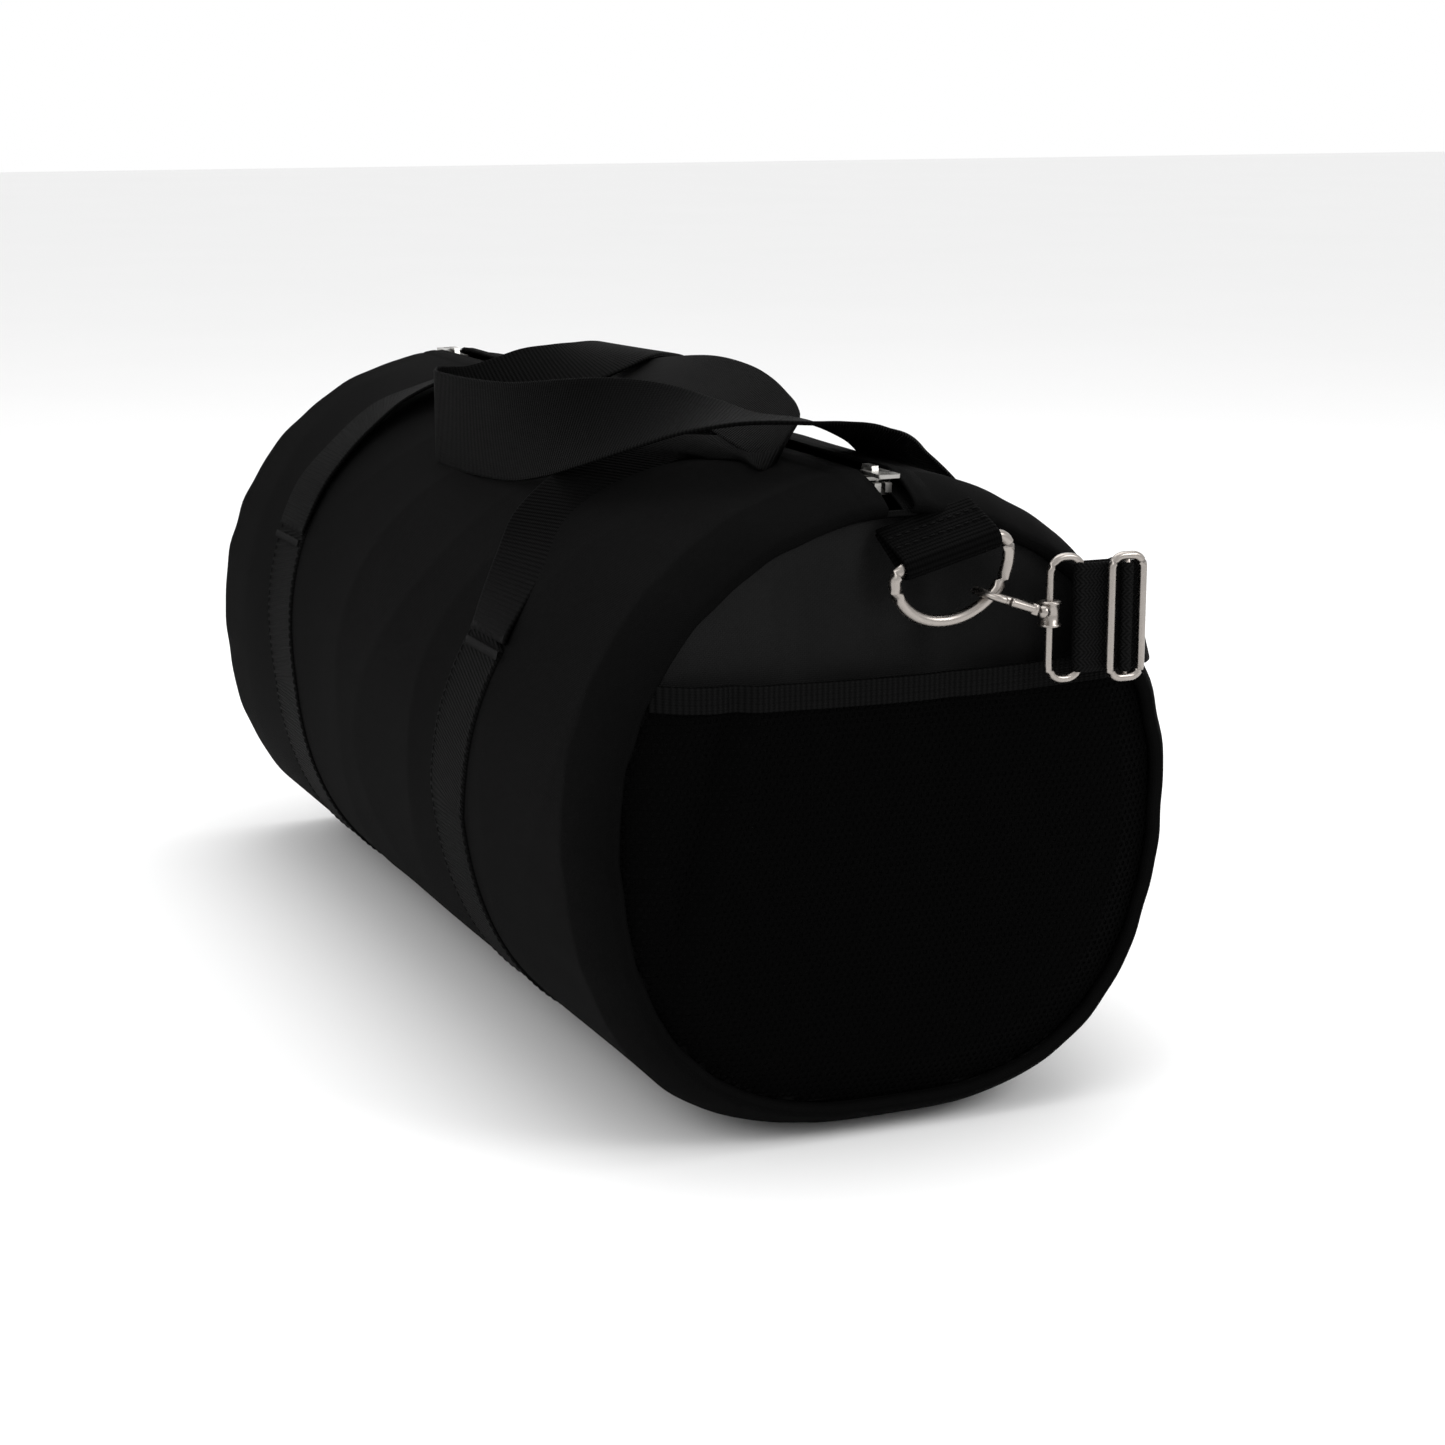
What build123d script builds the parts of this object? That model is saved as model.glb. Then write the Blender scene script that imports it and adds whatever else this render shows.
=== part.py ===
"""Barrel duffel bag: a round-ended soft bag with a top zip, two web handles, a mesh end pocket
and a clip-on shoulder strap.

Millimetres. X runs along the bag, +Y is its rear side, +Z is up. The origin is the middle of the
underside, on the surface that the bag stands on.
"""

from build123d import *
from math import cos, radians, sin
import os

# Bag
bag_length = 508.0
bag_height = 230.0
bag_width = 228.0
wall = 2.5  # face fabric, coating and lining together
flat_half = 12.0  # half the width of the flat underside
side_handle = 25.0  # how far the sides run straight down before they turn in
turn_handle = 112.0  # how full the lower corners are
end_shrink = 0.92  # size of the end seam against the middle of the barrel
shoulder = 22.0  # length of the curve from the barrel into the end seam
shoulder_shrink = 0.965  # size half way along that curve
panel = 1.5  # thickness of an end panel
panel_inset = 1.0  # the barrel's rim stands this far past the end panel
middle = bag_height / 2
half_length = bag_length / 2
seam_top = middle + middle * end_shrink

# Webbing
web_width = 38.0
web = 1.6
fit_gap = 0.3  # clearance between moving pieces
tack_height = 165.0  # where the handles leave the sewn webbing
run_bend = 97.0  # the sewn webbing is upright below this height and splays above it

# Zip
slot_half = 9.0
tape_top = 226.2
tape = 0.8
tape_edge = 3.2  # inner edge of each tape, where the teeth sit
tape_reach = 16.0
tooth_inner = 0.8
tooth_top = 227.2
tooth_bottom = 224.4
teeth_end = 238.0
slider_x = 230.0
slider_length = 12.0
slider_half = 4.9

# Mesh pocket
pocket_top = 156.0
pocket_depth = 5.8
mesh = 1.0
trim_height = 9.0
trim = 1.8

# End hardware
ring_wire = 2.25
ring_half = 21.9
ring_bar = (267.0, 12.0, 207.0)
ring_tilt = 15.0
tab_root = (252.0, 218.0)  # x and z where the tab is sewn into the seam
hook_x = 265.0
hook_wire = 1.5
hook_half = 8.5
hook_reach = 28.6
hook_rise = 19.0
hook_z = 183.0
eye_z = 181.0
eye_wire = 1.4
eye_near, eye_far = 51.5, 64.0  # y of the hook's bar and of the strap's bar
adjuster_y = 78.5
adjuster_half = 6.0
frame_half = 21.2  # half the height of the eye and the adjuster, to the middle of their wire
strap = 1.4
strap_layer = 2.4  # from the eye's bar to the middle of a layer of strap


def finish(builder, name):
    """Name a piece and write it to its own file."""
    builder.part.label = name
    export_step(builder.part, f"parts/{name}.step")


def bag_section(x, grow=0.0, scale=1.0):
    """Round top, fuller lower corners and a flat underside, shrunk about the bag's axis."""
    side = bag_width / 2 + grow
    top = bag_height + grow
    turn = turn_handle + grow / 2

    def at(y, z):
        return (y * scale, middle + (z - middle) * scale)

    with BuildSketch(Plane.YZ.offset(x)) as section:
        with BuildLine():
            ThreePointArc(at(side, middle), at(0, top), at(-side, middle))
            Bezier(at(side, middle), at(side, middle - side_handle), at(turn, -grow),
                   at(flat_half, -grow))
            Line(at(flat_half, -grow), at(-flat_half, -grow))
            Bezier(at(-flat_half, -grow), at(-turn, -grow), at(-side, middle - side_handle),
                   at(-side, middle))
        make_face()
    return section.sketch


def barrel_sections(inset):
    """Sections of the barrel and its rounded shoulders, moved in by inset."""
    profile = [(half_length - shoulder, 1.0), (half_length - shoulder / 2, shoulder_shrink),
               (half_length, end_shrink)]
    stations = [(-x, s) for x, s in reversed(profile)] + profile
    return [bag_section(x, scale=s * (1 - inset / middle)) for x, s in stations]


def strap_faces(stations, width, thickness):
    """Flat facets that close a strap through stations of (point, across).

    A section slants where across isn't square to the strap, as it does along a diagonal fold.
    """
    points = [Vector(*p) for p, _ in stations]
    rings = []
    for i, (_, across) in enumerate(stations):
        ahead = points[min(i + 1, len(points) - 1)]
        behind = points[max(i - 1, 0)]
        along = (ahead - behind).normalized()
        side = Vector(*across).normalized()
        square = along - side * along.dot(side)
        outward = side.cross(square).normalized() * (thickness / 2)
        reach = side * (width / square.length / 2)
        rings.append([points[i] + reach + outward, points[i] - reach + outward,
                      points[i] - reach - outward, points[i] + reach - outward])
    facets = [rings[0], rings[-1][::-1]]
    for near, far in zip(rings, rings[1:]):
        for k in range(4):
            m = (k + 1) % 4
            facets.append([near[m], near[k], far[m]])
            facets.append([near[k], far[k], far[m]])
    return [Face(Wire.make_polygon(corners)) for corners in facets]


os.makedirs("parts", exist_ok=True)

# ---- Sewn webbing under the bag -------------------------------------------------------------


def run_outline(low_x, high_x):
    """Side view of a sewn run of webbing, upright to run_bend and splayed above it."""
    half = web_width / 2
    with BuildSketch(Plane.XZ) as outline:
        with BuildLine():
            Polyline((low_x - half, 0), (low_x + half, 0), (low_x + half, run_bend),
                     (high_x + half, tack_height), (high_x - half, tack_height),
                     (low_x - half, run_bend), close=True)
        make_face()
    return outline.sketch


run_right_low, run_right_high = 104.0, 130.0
run_left_low, run_left_high = -129.0, -144.0

with BuildPart() as lifted_barrel:
    extrude(bag_section(0), amount=half_length, both=True)
    with Locations((0, 0, web - 10)):
        Box(bag_length + 2, 2 * bag_width, 20, mode=Mode.SUBTRACT)

with BuildPart() as webbing_run_right:
    extrude(bag_section(0, grow=web), amount=half_length, both=True)
    add(lifted_barrel.part, mode=Mode.SUBTRACT)
    extrude(run_outline(run_right_low, run_right_high), amount=bag_width, both=True,
            mode=Mode.INTERSECT)
finish(webbing_run_right, "webbing_run_right")

with BuildPart() as webbing_run_left:
    extrude(bag_section(0, grow=web), amount=half_length, both=True)
    add(lifted_barrel.part, mode=Mode.SUBTRACT)
    extrude(run_outline(run_left_low, run_left_high), amount=bag_width, both=True,
            mode=Mode.INTERSECT)
finish(webbing_run_left, "webbing_run_left")

# ---- Barrel, end panels and seam bindings -----------------------------------------------------

with BuildPart() as body_panel:
    loft(barrel_sections(0), ruled=True)
    loft(barrel_sections(wall), ruled=True, mode=Mode.SUBTRACT)
    with Locations((0, 0, bag_height)):
        Box(bag_length + 2, 2 * slot_half, 60, mode=Mode.SUBTRACT)
    with Locations((run_right_low, 0, web - 10), (run_left_low, 0, web - 10)):
        Box(web_width, 2 * bag_width, 20, mode=Mode.SUBTRACT)
finish(body_panel, "body_panel")

inner_scale = end_shrink * (1 - wall / middle)

with BuildPart() as end_panel_right:
    extrude(bag_section(half_length - panel_inset, scale=inner_scale), amount=-panel)
finish(end_panel_right, "end_panel_right")

with BuildPart() as end_panel_left:
    add(mirror(end_panel_right.part, about=Plane.YZ))
finish(end_panel_left, "end_panel_left")

binding_width = 10.0
binding = 1.2
binding_face = half_length - panel_inset - panel

with BuildPart() as seam_binding_right:
    extrude(bag_section(binding_face, scale=inner_scale), amount=-binding_width)
    extrude(bag_section(binding_face, scale=inner_scale - binding / middle),
            amount=-binding_width, mode=Mode.SUBTRACT)
    with Locations((binding_face, 0, bag_height)):
        Box(4 * binding_width, 2 * tape_reach + 1, 50, mode=Mode.SUBTRACT)
finish(seam_binding_right, "seam_binding_right")

with BuildPart() as seam_binding_left:
    add(mirror(seam_binding_right.part, about=Plane.YZ))
finish(seam_binding_left, "seam_binding_left")

# ---- Mesh pocket on the right end -------------------------------------------------------------

pocket_foot = half_length - panel_inset
pocket_narrow = 0.955  # how far the pocket's face pulls in from the seam


def pocket_sections(depth, inset):
    """The pocket's outside, or its inside when inset, as a shallow tray on the end panel."""
    places = ((pocket_foot, inner_scale), (pocket_foot + depth, inner_scale * pocket_narrow))
    return [bag_section(x, scale=s - inset / middle) for x, s in places]


with BuildPart() as mesh_pocket:
    loft(pocket_sections(pocket_depth, 0), ruled=True)
    loft(pocket_sections(pocket_depth - mesh, mesh), ruled=True, mode=Mode.SUBTRACT)
    with Locations((pocket_foot, 0, pocket_top + bag_height / 2)):
        Box(60, bag_width, bag_height, mode=Mode.SUBTRACT)
finish(mesh_pocket, "mesh_pocket")

with BuildPart() as pocket_trim:
    extrude(bag_section(pocket_foot, scale=inner_scale), amount=pocket_depth + trim)
    extrude(bag_section(pocket_foot, scale=inner_scale * pocket_narrow - mesh / middle),
            amount=pocket_depth, mode=Mode.SUBTRACT)
    with Locations((pocket_foot, 0, pocket_top + trim_height / 2)):
        Box(60, bag_width, trim_height, mode=Mode.INTERSECT)
finish(pocket_trim, "pocket_trim")

# ---- Handles ----------------------------------------------------------------------------------

front_route = [
    ((-144, -104.3, 167.2), (1, 0, 0)),
    ((-144, -96.5, 182.5), (1, 0, 0)),
    ((-143, -84.4, 196.5), (1.00, -0.09, -0.04)),
    ((-139.5, -68.0, 212.2), (0.96, -0.27, -0.09)),
    ((-131.5, -51.5, 223), (0.9, -0.38, -0.02)),
    ((-120, -37.5, 230), (0.95, -0.2, 0.1)),
    ((-104, -21, 233.8), (0.9, 0.3, 0.15)),
    ((-89.3, -3.5, 235.9), (0.853, 0.5, 0.147)),
    ((-87.2, 0.3, 237.5), (0.853, 0.5, 0.147)),
    ((-84.6, 2.7, 240.4), (0.853, 0.5, 0.147)),
    ((-81.1, 3.6, 243.1), (0.853, 0.5, 0.147)),
    ((-76.7, 3.5, 244.5), (0.853, 0.5, 0.147)),
    ((-65, 1, 244.8), (0.853, 0.5, 0.147)),
    ((-50, -2, 243.5), (0.5, 0.75, 0.3)),
    ((-38, -3, 242), (0.15, 0.85, 0.4)),
    ((10, 2, 242.5), (0, 0.85, 0.5)),
    ((70, 3, 245), (0, 0.76, 0.65)),
    ((125, 1, 244), (0, 0.8, 0.6)),
    ((158, -1, 241), (0, 0.86, 0.5)),
    ((174, -3.5, 239.2), (0, 0.9, 0.43)),
    ((180.5, -8.1, 238.5), (0, 0.9, 0.43)),
    ((182.6, -12.8, 239.4), (0, 0.9, 0.43)),
    ((180.5, -17.5, 240.3), (0, 0.9, 0.43)),
    ((174, -21.6, 240.2), (0, 0.9, 0.4)),
    ((160, -29, 238.5), (-0.3, 0.85, 0.38)),
    ((147, -38, 235.5), (-0.5, 0.75, 0.35)),
    ((136, -50, 230), (-0.75, 0.55, 0.18)),
    ((129.5, -64.5, 219.5), (-0.92, 0.3, 0.15)),
    ((127, -80, 205), (-0.99, 0.05, 0.12)),
    ((127.5, -94, 187), (-1, 0, 0.06)),
    ((130, -104.3, 167.2), (-1, 0, 0)),
]

rear_route = [
    ((130, 104.3, 167.2), (-1, 0, 0)),
    ((133, 95.5, 184), (-1, 0, 0.05)),
    ((139, 82, 203), (-0.96, -0.15, 0.2)),
    ((151, 66, 219), (-0.88, -0.3, 0.35)),
    ((167, 43, 240.5), (-0.9, -0.3, 0.3)),
    ((179, 18, 256.5), (-0.94, -0.2, 0.15)),
    ((180, -2, 259), (-0.93, 0.35, 0)),
    ((168, -18, 258.5), (-0.6, 0.8, 0.1)),
    ((146, -28, 254), (-0.33, 0.88, 0.3)),
    ((122, -37, 251), (-0.2, 0.78, 0.6)),
    ((96, -48, 245.5), (-0.1, 0.5, 0.85)),
    ((66, -60, 237.5), (0, 0.25, 0.97)),
    ((20, -70, 228.5), (0, 0.12, 1)),
    ((-28, -71.5, 226.5), (0, 0.06, 1)),
    ((-46, -70, 228), (0, 0, 1)),
    ((-55, -61, 234), (0.3, 0, 0.95)),
    ((-62, -49, 241.5), (0.6, 0.2, 0.77)),
    ((-74, -34, 247), (0.8, 0.4, 0.4)),
    ((-90, -10, 250), (0.88, 0.46, 0.08)),
    ((-106, 14, 250), (0.93, 0.36, 0)),
    ((-119, 36, 243.5), (0.98, 0.2, 0)),
    ((-130, 58, 229), (1, 0.1, 0)),
    ((-138, 79, 208.5), (1, 0, 0)),
    ((-142.5, 95, 185), (1, 0, 0)),
    ((-144, 104.3, 167.2), (1, 0, 0)),
]

with BuildPart() as handle_front:
    add(Solid(Shell(strap_faces(front_route, web_width, web))))
finish(handle_front, "handle_front")

with BuildPart() as handle_rear:
    add(Solid(Shell(strap_faces(rear_route, web_width, web))))
finish(handle_rear, "handle_rear")

# ---- Zip --------------------------------------------------------------------------------------


def tape_outline(side):
    """Side view of a tape, flat along the top of the bag and turned down over each shoulder."""
    ramp = [(half_length - shoulder, tape_top), (half_length - shoulder / 2, tape_top - 4.2),
            (half_length - panel_inset - panel, tape_top - 8.2)]
    upper = [(-x, z) for x, z in reversed(ramp)] + ramp
    lower = [(x, z - tape) for x, z in reversed(upper)]
    with BuildSketch(Plane.XZ.offset(-side * tape_edge)) as outline:
        with BuildLine():
            Polyline(*upper, *lower, close=True)
        make_face()
    return outline.sketch


with BuildPart() as zip_tape_front:
    extrude(tape_outline(-1), amount=tape_reach - tape_edge)
finish(zip_tape_front, "zip_tape_front")

with BuildPart() as zip_tape_rear:
    extrude(tape_outline(1), amount=tape_edge - tape_reach)
finish(zip_tape_rear, "zip_tape_rear")

tooth_width = tape_edge - tooth_inner
tooth_y = (tape_edge + tooth_inner) / 2
tooth_z = (tooth_top + tooth_bottom) / 2

with BuildPart() as zip_teeth_front:
    with Locations((0, -tooth_y, tooth_z)):
        Box(2 * teeth_end, tooth_width, tooth_top - tooth_bottom)
finish(zip_teeth_front, "zip_teeth_front")

with BuildPart() as zip_teeth_rear:
    with Locations((0, tooth_y, tooth_z)):
        Box(2 * teeth_end, tooth_width, tooth_top - tooth_bottom)
finish(zip_teeth_rear, "zip_teeth_rear")

stop_length = 2.5
with BuildPart() as zip_stops:
    for end in (1, -1):
        for side in (1, -1):
            with Locations((end * (teeth_end + stop_length / 2), side * 2.0, tape_top - 0.4)):
                Box(stop_length, 2.4, 3.2)
finish(zip_stops, "zip_stops")

crown_top = 232.4
crown_half = 3.2
plate = 1.2
plate_gap = 0.6
loop_wire = 0.9

with BuildPart() as zip_slider_right:
    top_plate = tooth_top + plate_gap + plate / 2
    bottom_plate = tooth_bottom - plate_gap - plate / 2
    with Locations((slider_x, 0, top_plate), (slider_x, 0, bottom_plate)):
        Box(slider_length, 2 * slider_half, plate)
    flange = 0.7
    flange_drop = 1.2
    for side in (1, -1):
        with Locations((slider_x, side * (slider_half - flange / 2),
                        top_plate - plate / 2 - flange_drop / 2 + 0.1)):
            Box(slider_length, flange, flange_drop)
    with Locations((slider_x + slider_length / 2 - 1.5, 0, (top_plate + bottom_plate) / 2)):
        Box(3, 0.9, top_plate - bottom_plate)
    with BuildSketch(Plane.XZ.offset(-1.25)):
        with BuildLine():
            Polyline((slider_x - 5, top_plate), (slider_x - 3.8, crown_top),
                     (slider_x + 3.8, crown_top), (slider_x + 5, top_plate), close=True)
        make_face()
        with Locations((slider_x, top_plate + plate / 2 + 1.35)):
            Rectangle(5.6, 2.1, mode=Mode.SUBTRACT)
    extrude(amount=2.5)
finish(zip_slider_right, "zip_slider_right")

with BuildPart() as zip_slider_left:
    add(mirror(zip_slider_right.part, about=Plane.YZ))
finish(zip_slider_left, "zip_slider_left")

pull_pin = (slider_x, 230.35)  # x and z of the pull's hinge in the slider's crown
pull_length = 17.0
pull_width = 8.0
pull_thick = 1.3

with BuildPart() as zip_pull_right:
    with BuildSketch(Plane.XY.offset(pull_pin[1] - pull_thick / 2)):
        with Locations((pull_pin[0] + pull_length / 2 - 0.65, 0)):
            RectangleRounded(pull_length, pull_width, 1.6)
        with Locations((pull_pin[0] + 3.1, 0)):
            Rectangle(4.9, 4.6, mode=Mode.SUBTRACT)
        with Locations((pull_pin[0] + pull_length - 4.5, 0)):
            Circle(1.6, mode=Mode.SUBTRACT)
    extrude(amount=pull_thick)
finish(zip_pull_right, "zip_pull_right")

with BuildPart() as zip_pull_left:
    add(mirror(zip_pull_right.part, about=Plane.YZ))
finish(zip_pull_left, "zip_pull_left")

# ---- D-rings and their tabs -------------------------------------------------------------------

tilt = radians(ring_tilt)
ring_plane = Plane(origin=ring_bar, x_dir=(1, 0, 0), z_dir=(0, -cos(tilt), -sin(tilt)))
ring_hang = Vector(-0.17, 0, -1).normalized()


def teardrop(bar_radius, root_radius, root_back):
    """Outline round the ring's bar and a point near the seam, in the tab's own plane."""
    root = (tab_root[0] - ring_bar[0] + root_back, tab_root[1] - ring_bar[2])
    with BuildSketch(ring_plane) as outline:
        Circle(bar_radius)
        with Locations(root):
            Circle(root_radius)
        make_hull()
    return outline.sketch


with BuildPart() as d_ring_tab_right:
    extrude(teardrop(ring_wire + 0.25 + web, web, 1.2), amount=web_width / 2, both=True)
    extrude(teardrop(ring_wire + 0.25, 0.2, 5.0), amount=web_width, both=True,
            mode=Mode.SUBTRACT)
    with Locations((half_length - 15, 0, middle)):
        Box(30, bag_width, 2 * bag_height, mode=Mode.SUBTRACT)
finish(d_ring_tab_right, "d_ring_tab_right")

ring_across = Vector(0, cos(tilt), sin(tilt))
ring_down = (ring_hang - ring_across * ring_hang.dot(ring_across)).normalized()
d_plane = Plane(origin=ring_bar, x_dir=ring_across, z_dir=ring_across.cross(ring_down))
d_straight = 2.5

with BuildPart() as d_ring_right:
    with BuildLine(d_plane) as d_path:
        Line((-ring_half, 0), (ring_half, 0))
        Line((ring_half, 0), (ring_half, d_straight))
        ThreePointArc((ring_half, d_straight), (0, d_straight + ring_half),
                      (-ring_half, d_straight))
        Line((-ring_half, d_straight), (-ring_half, 0))
    with BuildSketch(Plane(origin=ring_bar, z_dir=ring_across)):
        Circle(ring_wire)
    sweep(transition=Transition.ROUND)
finish(d_ring_right, "d_ring_right")

# ---- Snap hooks, gates, strap eyes ------------------------------------------------------------

rise = radians(hook_rise)
hook_along = Vector(0, -cos(rise), sin(rise))
hook_centre = Vector(hook_x, eye_near, hook_z)
hook_plane = Plane(origin=hook_centre, x_dir=hook_along, z_dir=Vector(1, 0, 0).cross(hook_along))
barrel_radius = 4.2
barrel_half = 4.5
pivot = 8.0  # from the swivel's middle to the gate's pivot
gate_wire = 1.2
# the plane's y direction is +X or -X; gate_y is the side that faces away from the bag
gate_y = hook_half if hook_plane.y_dir.X > 0 else -hook_half
nose_gap = 3.2

with BuildPart() as snap_hook_right:
    with BuildLine(hook_plane):
        hook_wire_path = Polyline((pivot - 1.0, gate_y * 0.55), (4.5, gate_y * 0.3),
                                  (4.5, -gate_y * 0.45), (9, -gate_y))
        Line((9, -gate_y), (hook_reach - 6, -gate_y))
        FilletPolyline((hook_reach - 6, -gate_y), (hook_reach, -gate_y * 0.6),
                       (hook_reach, gate_y * 0.6), (hook_reach - nose_gap, gate_y * 0.95),
                       radius=2.5)
    start = hook_plane.from_local_coords(Vector(pivot - 1.0, gate_y * 0.55, 0))
    toward = hook_plane.from_local_coords(Vector(4.5, gate_y * 0.3, 0)) - start
    with BuildSketch(Plane(origin=start, z_dir=toward)):
        Circle(hook_wire)
    sweep(transition=Transition.ROUND)
    with BuildSketch(Plane.XY.offset(hook_z - barrel_half)):
        with Locations((hook_x, eye_near)):
            Circle(barrel_radius)
    extrude(amount=2 * barrel_half)
    with BuildSketch(Plane.XY.offset(hook_z - barrel_half - 1)):
        with Locations((hook_x, eye_near)):
            Circle(eye_wire + fit_gap)
    extrude(amount=2 * barrel_half + 2, mode=Mode.SUBTRACT)
finish(snap_hook_right, "snap_hook_right")

with BuildPart() as hook_gate_right:
    with BuildLine(hook_plane):
        Line((pivot + 2.4, gate_y), (hook_reach - nose_gap - 3.4, gate_y))
    gate_start = hook_plane.from_local_coords(Vector(pivot + 2.4, gate_y, 0))
    with BuildSketch(Plane(origin=gate_start, z_dir=hook_along)):
        Circle(gate_wire)
    sweep()
finish(hook_gate_right, "hook_gate_right")


def frame_band(low_y, high_y, height, wire, x, corner):
    """A rounded rectangular band standing across the bag's end, one wire wide and deep."""
    tall = 2 * frame_half
    wide = high_y - low_y
    with BuildSketch(Plane.YZ.offset(x - wire)) as band:
        with Locations(((low_y + high_y) / 2, height)):
            RectangleRounded(wide + 2 * wire, tall + 2 * wire, corner + wire)
            RectangleRounded(wide - 2 * wire, tall - 2 * wire, corner - wire,
                             mode=Mode.SUBTRACT)
    return band.sketch


with BuildPart() as strap_eye_right:
    extrude(frame_band(eye_near, eye_far, eye_z, eye_wire, hook_x, 2.2), amount=2 * eye_wire)
    fillet(edges().filter_by(Plane.YZ), eye_wire * 0.9)
finish(strap_eye_right, "strap_eye_right")

for name, source in (("d_ring_tab_left", d_ring_tab_right), ("d_ring_left", d_ring_right),
                     ("snap_hook_left", snap_hook_right), ("hook_gate_left", hook_gate_right),
                     ("strap_eye_left", strap_eye_right)):
    with BuildPart() as left_piece:
        add(mirror(source.part, about=Plane.YZ))
    finish(left_piece, name)

# ---- Shoulder strap and its adjuster ----------------------------------------------------------

front_layer = hook_x + strap_layer
back_layer = hook_x - strap_layer
upright = (0, 0, 1)


def eye_turn(end):
    """Strap round an eye's bar, from its outer layer to its inner one."""
    turn = []
    for angle in (90, 130, 170, 210, 250, 270):
        a = radians(angle)
        turn.append(((end * (hook_x + strap_layer * sin(a)), eye_far + strap_layer * cos(a),
                      eye_z), upright))
    return turn


strap_route = [
    ((front_layer, 94, eye_z), upright),
    ((front_layer, 72, eye_z), upright),
    *eye_turn(1),
    ((back_layer, 72, eye_z), upright),
    ((back_layer, 88, eye_z), upright),
    ((260.6, 104, 180.5), (0.1, -0.15, 1)),
    ((244, 112, 176), (0.1, -0.45, 1)),
    ((222, 117, 168), (0.15, -0.55, 1)),
    ((180, 123, 149), (0.3, -0.5, 1)),
    ((130, 130, 122), (0.4, -0.3, 1)),
    ((75, 134, 90), (0.4, -0.1, 1)),
    ((25, 138, 62), (0.4, 0, 1)),
    ((-25, 145, 38), (0.3, 0, 1)),
    ((-70, 158, 22), (0.15, 0.2, 1)),
    ((-115, 174, 10.5), (0, 0.85, 0.5)),
    ((-160, 184, 1.6), (0, 1, 0.06)),
    ((-215, 187, 0.9), (0, 1, 0)),
    ((-262, 183, 4.5), (0, 1, 0)),
    ((-288, 175, 24), (0, 1, 0.1)),
    ((-298, 163, 57), (0, 0.96, 0.28)),
    ((-297, 148, 95), (0, 0.9, 0.42)),
    ((-289, 130, 130), (0, 0.8, 0.58)),
    ((-279, 111, 158), (0, 0.6, 0.8)),
    ((-271, 92, 174), (0, 0.3, 0.95)),
    ((-front_layer, 78, 180.6), upright),
    ((-front_layer, 70, eye_z), upright),
    *eye_turn(-1),
    ((-back_layer, 72, eye_z), upright),
    ((-back_layer, 90, eye_z), upright),
]

with BuildPart() as shoulder_strap:
    add(Solid(Shell(strap_faces(strap_route, web_width, strap))))
finish(shoulder_strap, "shoulder_strap")

adjuster_wire = 1.5
adjuster_bar = 1.1
fold_inner = adjuster_bar + 0.1
fold = 0.9  # the strap's end, pressed thinner in its fold
adjuster_x = front_layer + strap / 2 + fit_gap + fold_inner + fold

with BuildPart() as strap_adjuster:
    extrude(frame_band(adjuster_y - adjuster_half, adjuster_y + adjuster_half, eye_z,
                       adjuster_wire, adjuster_x, 2.3), amount=2 * adjuster_wire)
    fillet(edges().filter_by(Plane.YZ), adjuster_wire * 0.9)
    with BuildSketch(Plane.XY.offset(eye_z - frame_half)):
        with Locations((adjuster_x, adjuster_y)):
            Circle(adjuster_bar)
    extrude(amount=2 * frame_half)
finish(strap_adjuster, "strap_adjuster")

# the strap's end, folded round the adjuster's middle bar and sewn to itself
with BuildPart() as strap_end_fold:
    with BuildSketch(Plane.XY.offset(eye_z - web_width / 2)):
        with Locations((adjuster_x, adjuster_y)):
            Circle(fold_inner + fold)
            Circle(fold_inner, mode=Mode.SUBTRACT)
    extrude(amount=web_width)
finish(strap_end_fold, "strap_end_fold")

for name, route in (("front handle", front_route), ("rear handle", rear_route),
                    ("shoulder strap", strap_route)):
    points = [Vector(*p) for p, _ in route]
    length = sum((b - a).length for a, b in zip(points, points[1:]))
    print(f"{name}: {length:.0f} mm along its middle")
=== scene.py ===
import math

import bpy
import numpy as np
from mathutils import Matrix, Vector


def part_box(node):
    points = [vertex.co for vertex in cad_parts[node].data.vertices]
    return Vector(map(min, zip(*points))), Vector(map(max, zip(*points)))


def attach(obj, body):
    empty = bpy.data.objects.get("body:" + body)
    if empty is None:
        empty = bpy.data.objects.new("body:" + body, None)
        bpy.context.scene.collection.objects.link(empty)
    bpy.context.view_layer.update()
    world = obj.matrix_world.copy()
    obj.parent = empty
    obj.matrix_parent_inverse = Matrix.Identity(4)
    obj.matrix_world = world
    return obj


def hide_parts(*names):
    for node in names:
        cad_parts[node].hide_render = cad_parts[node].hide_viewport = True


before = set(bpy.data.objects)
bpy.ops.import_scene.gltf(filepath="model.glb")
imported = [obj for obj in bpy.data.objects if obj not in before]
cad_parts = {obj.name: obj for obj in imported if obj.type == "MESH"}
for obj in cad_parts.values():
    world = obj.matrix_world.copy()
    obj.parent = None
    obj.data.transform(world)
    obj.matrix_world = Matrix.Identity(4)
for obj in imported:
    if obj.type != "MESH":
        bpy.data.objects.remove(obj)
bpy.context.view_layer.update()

MM = 0.001
rng = np.random.default_rng(11)

# ---- sizes, in millimetres, read from the frame ------------------------------------------------


def box_mm(node):
    low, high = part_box(node)
    return np.array(low) / MM, np.array(high) / MM


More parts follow.
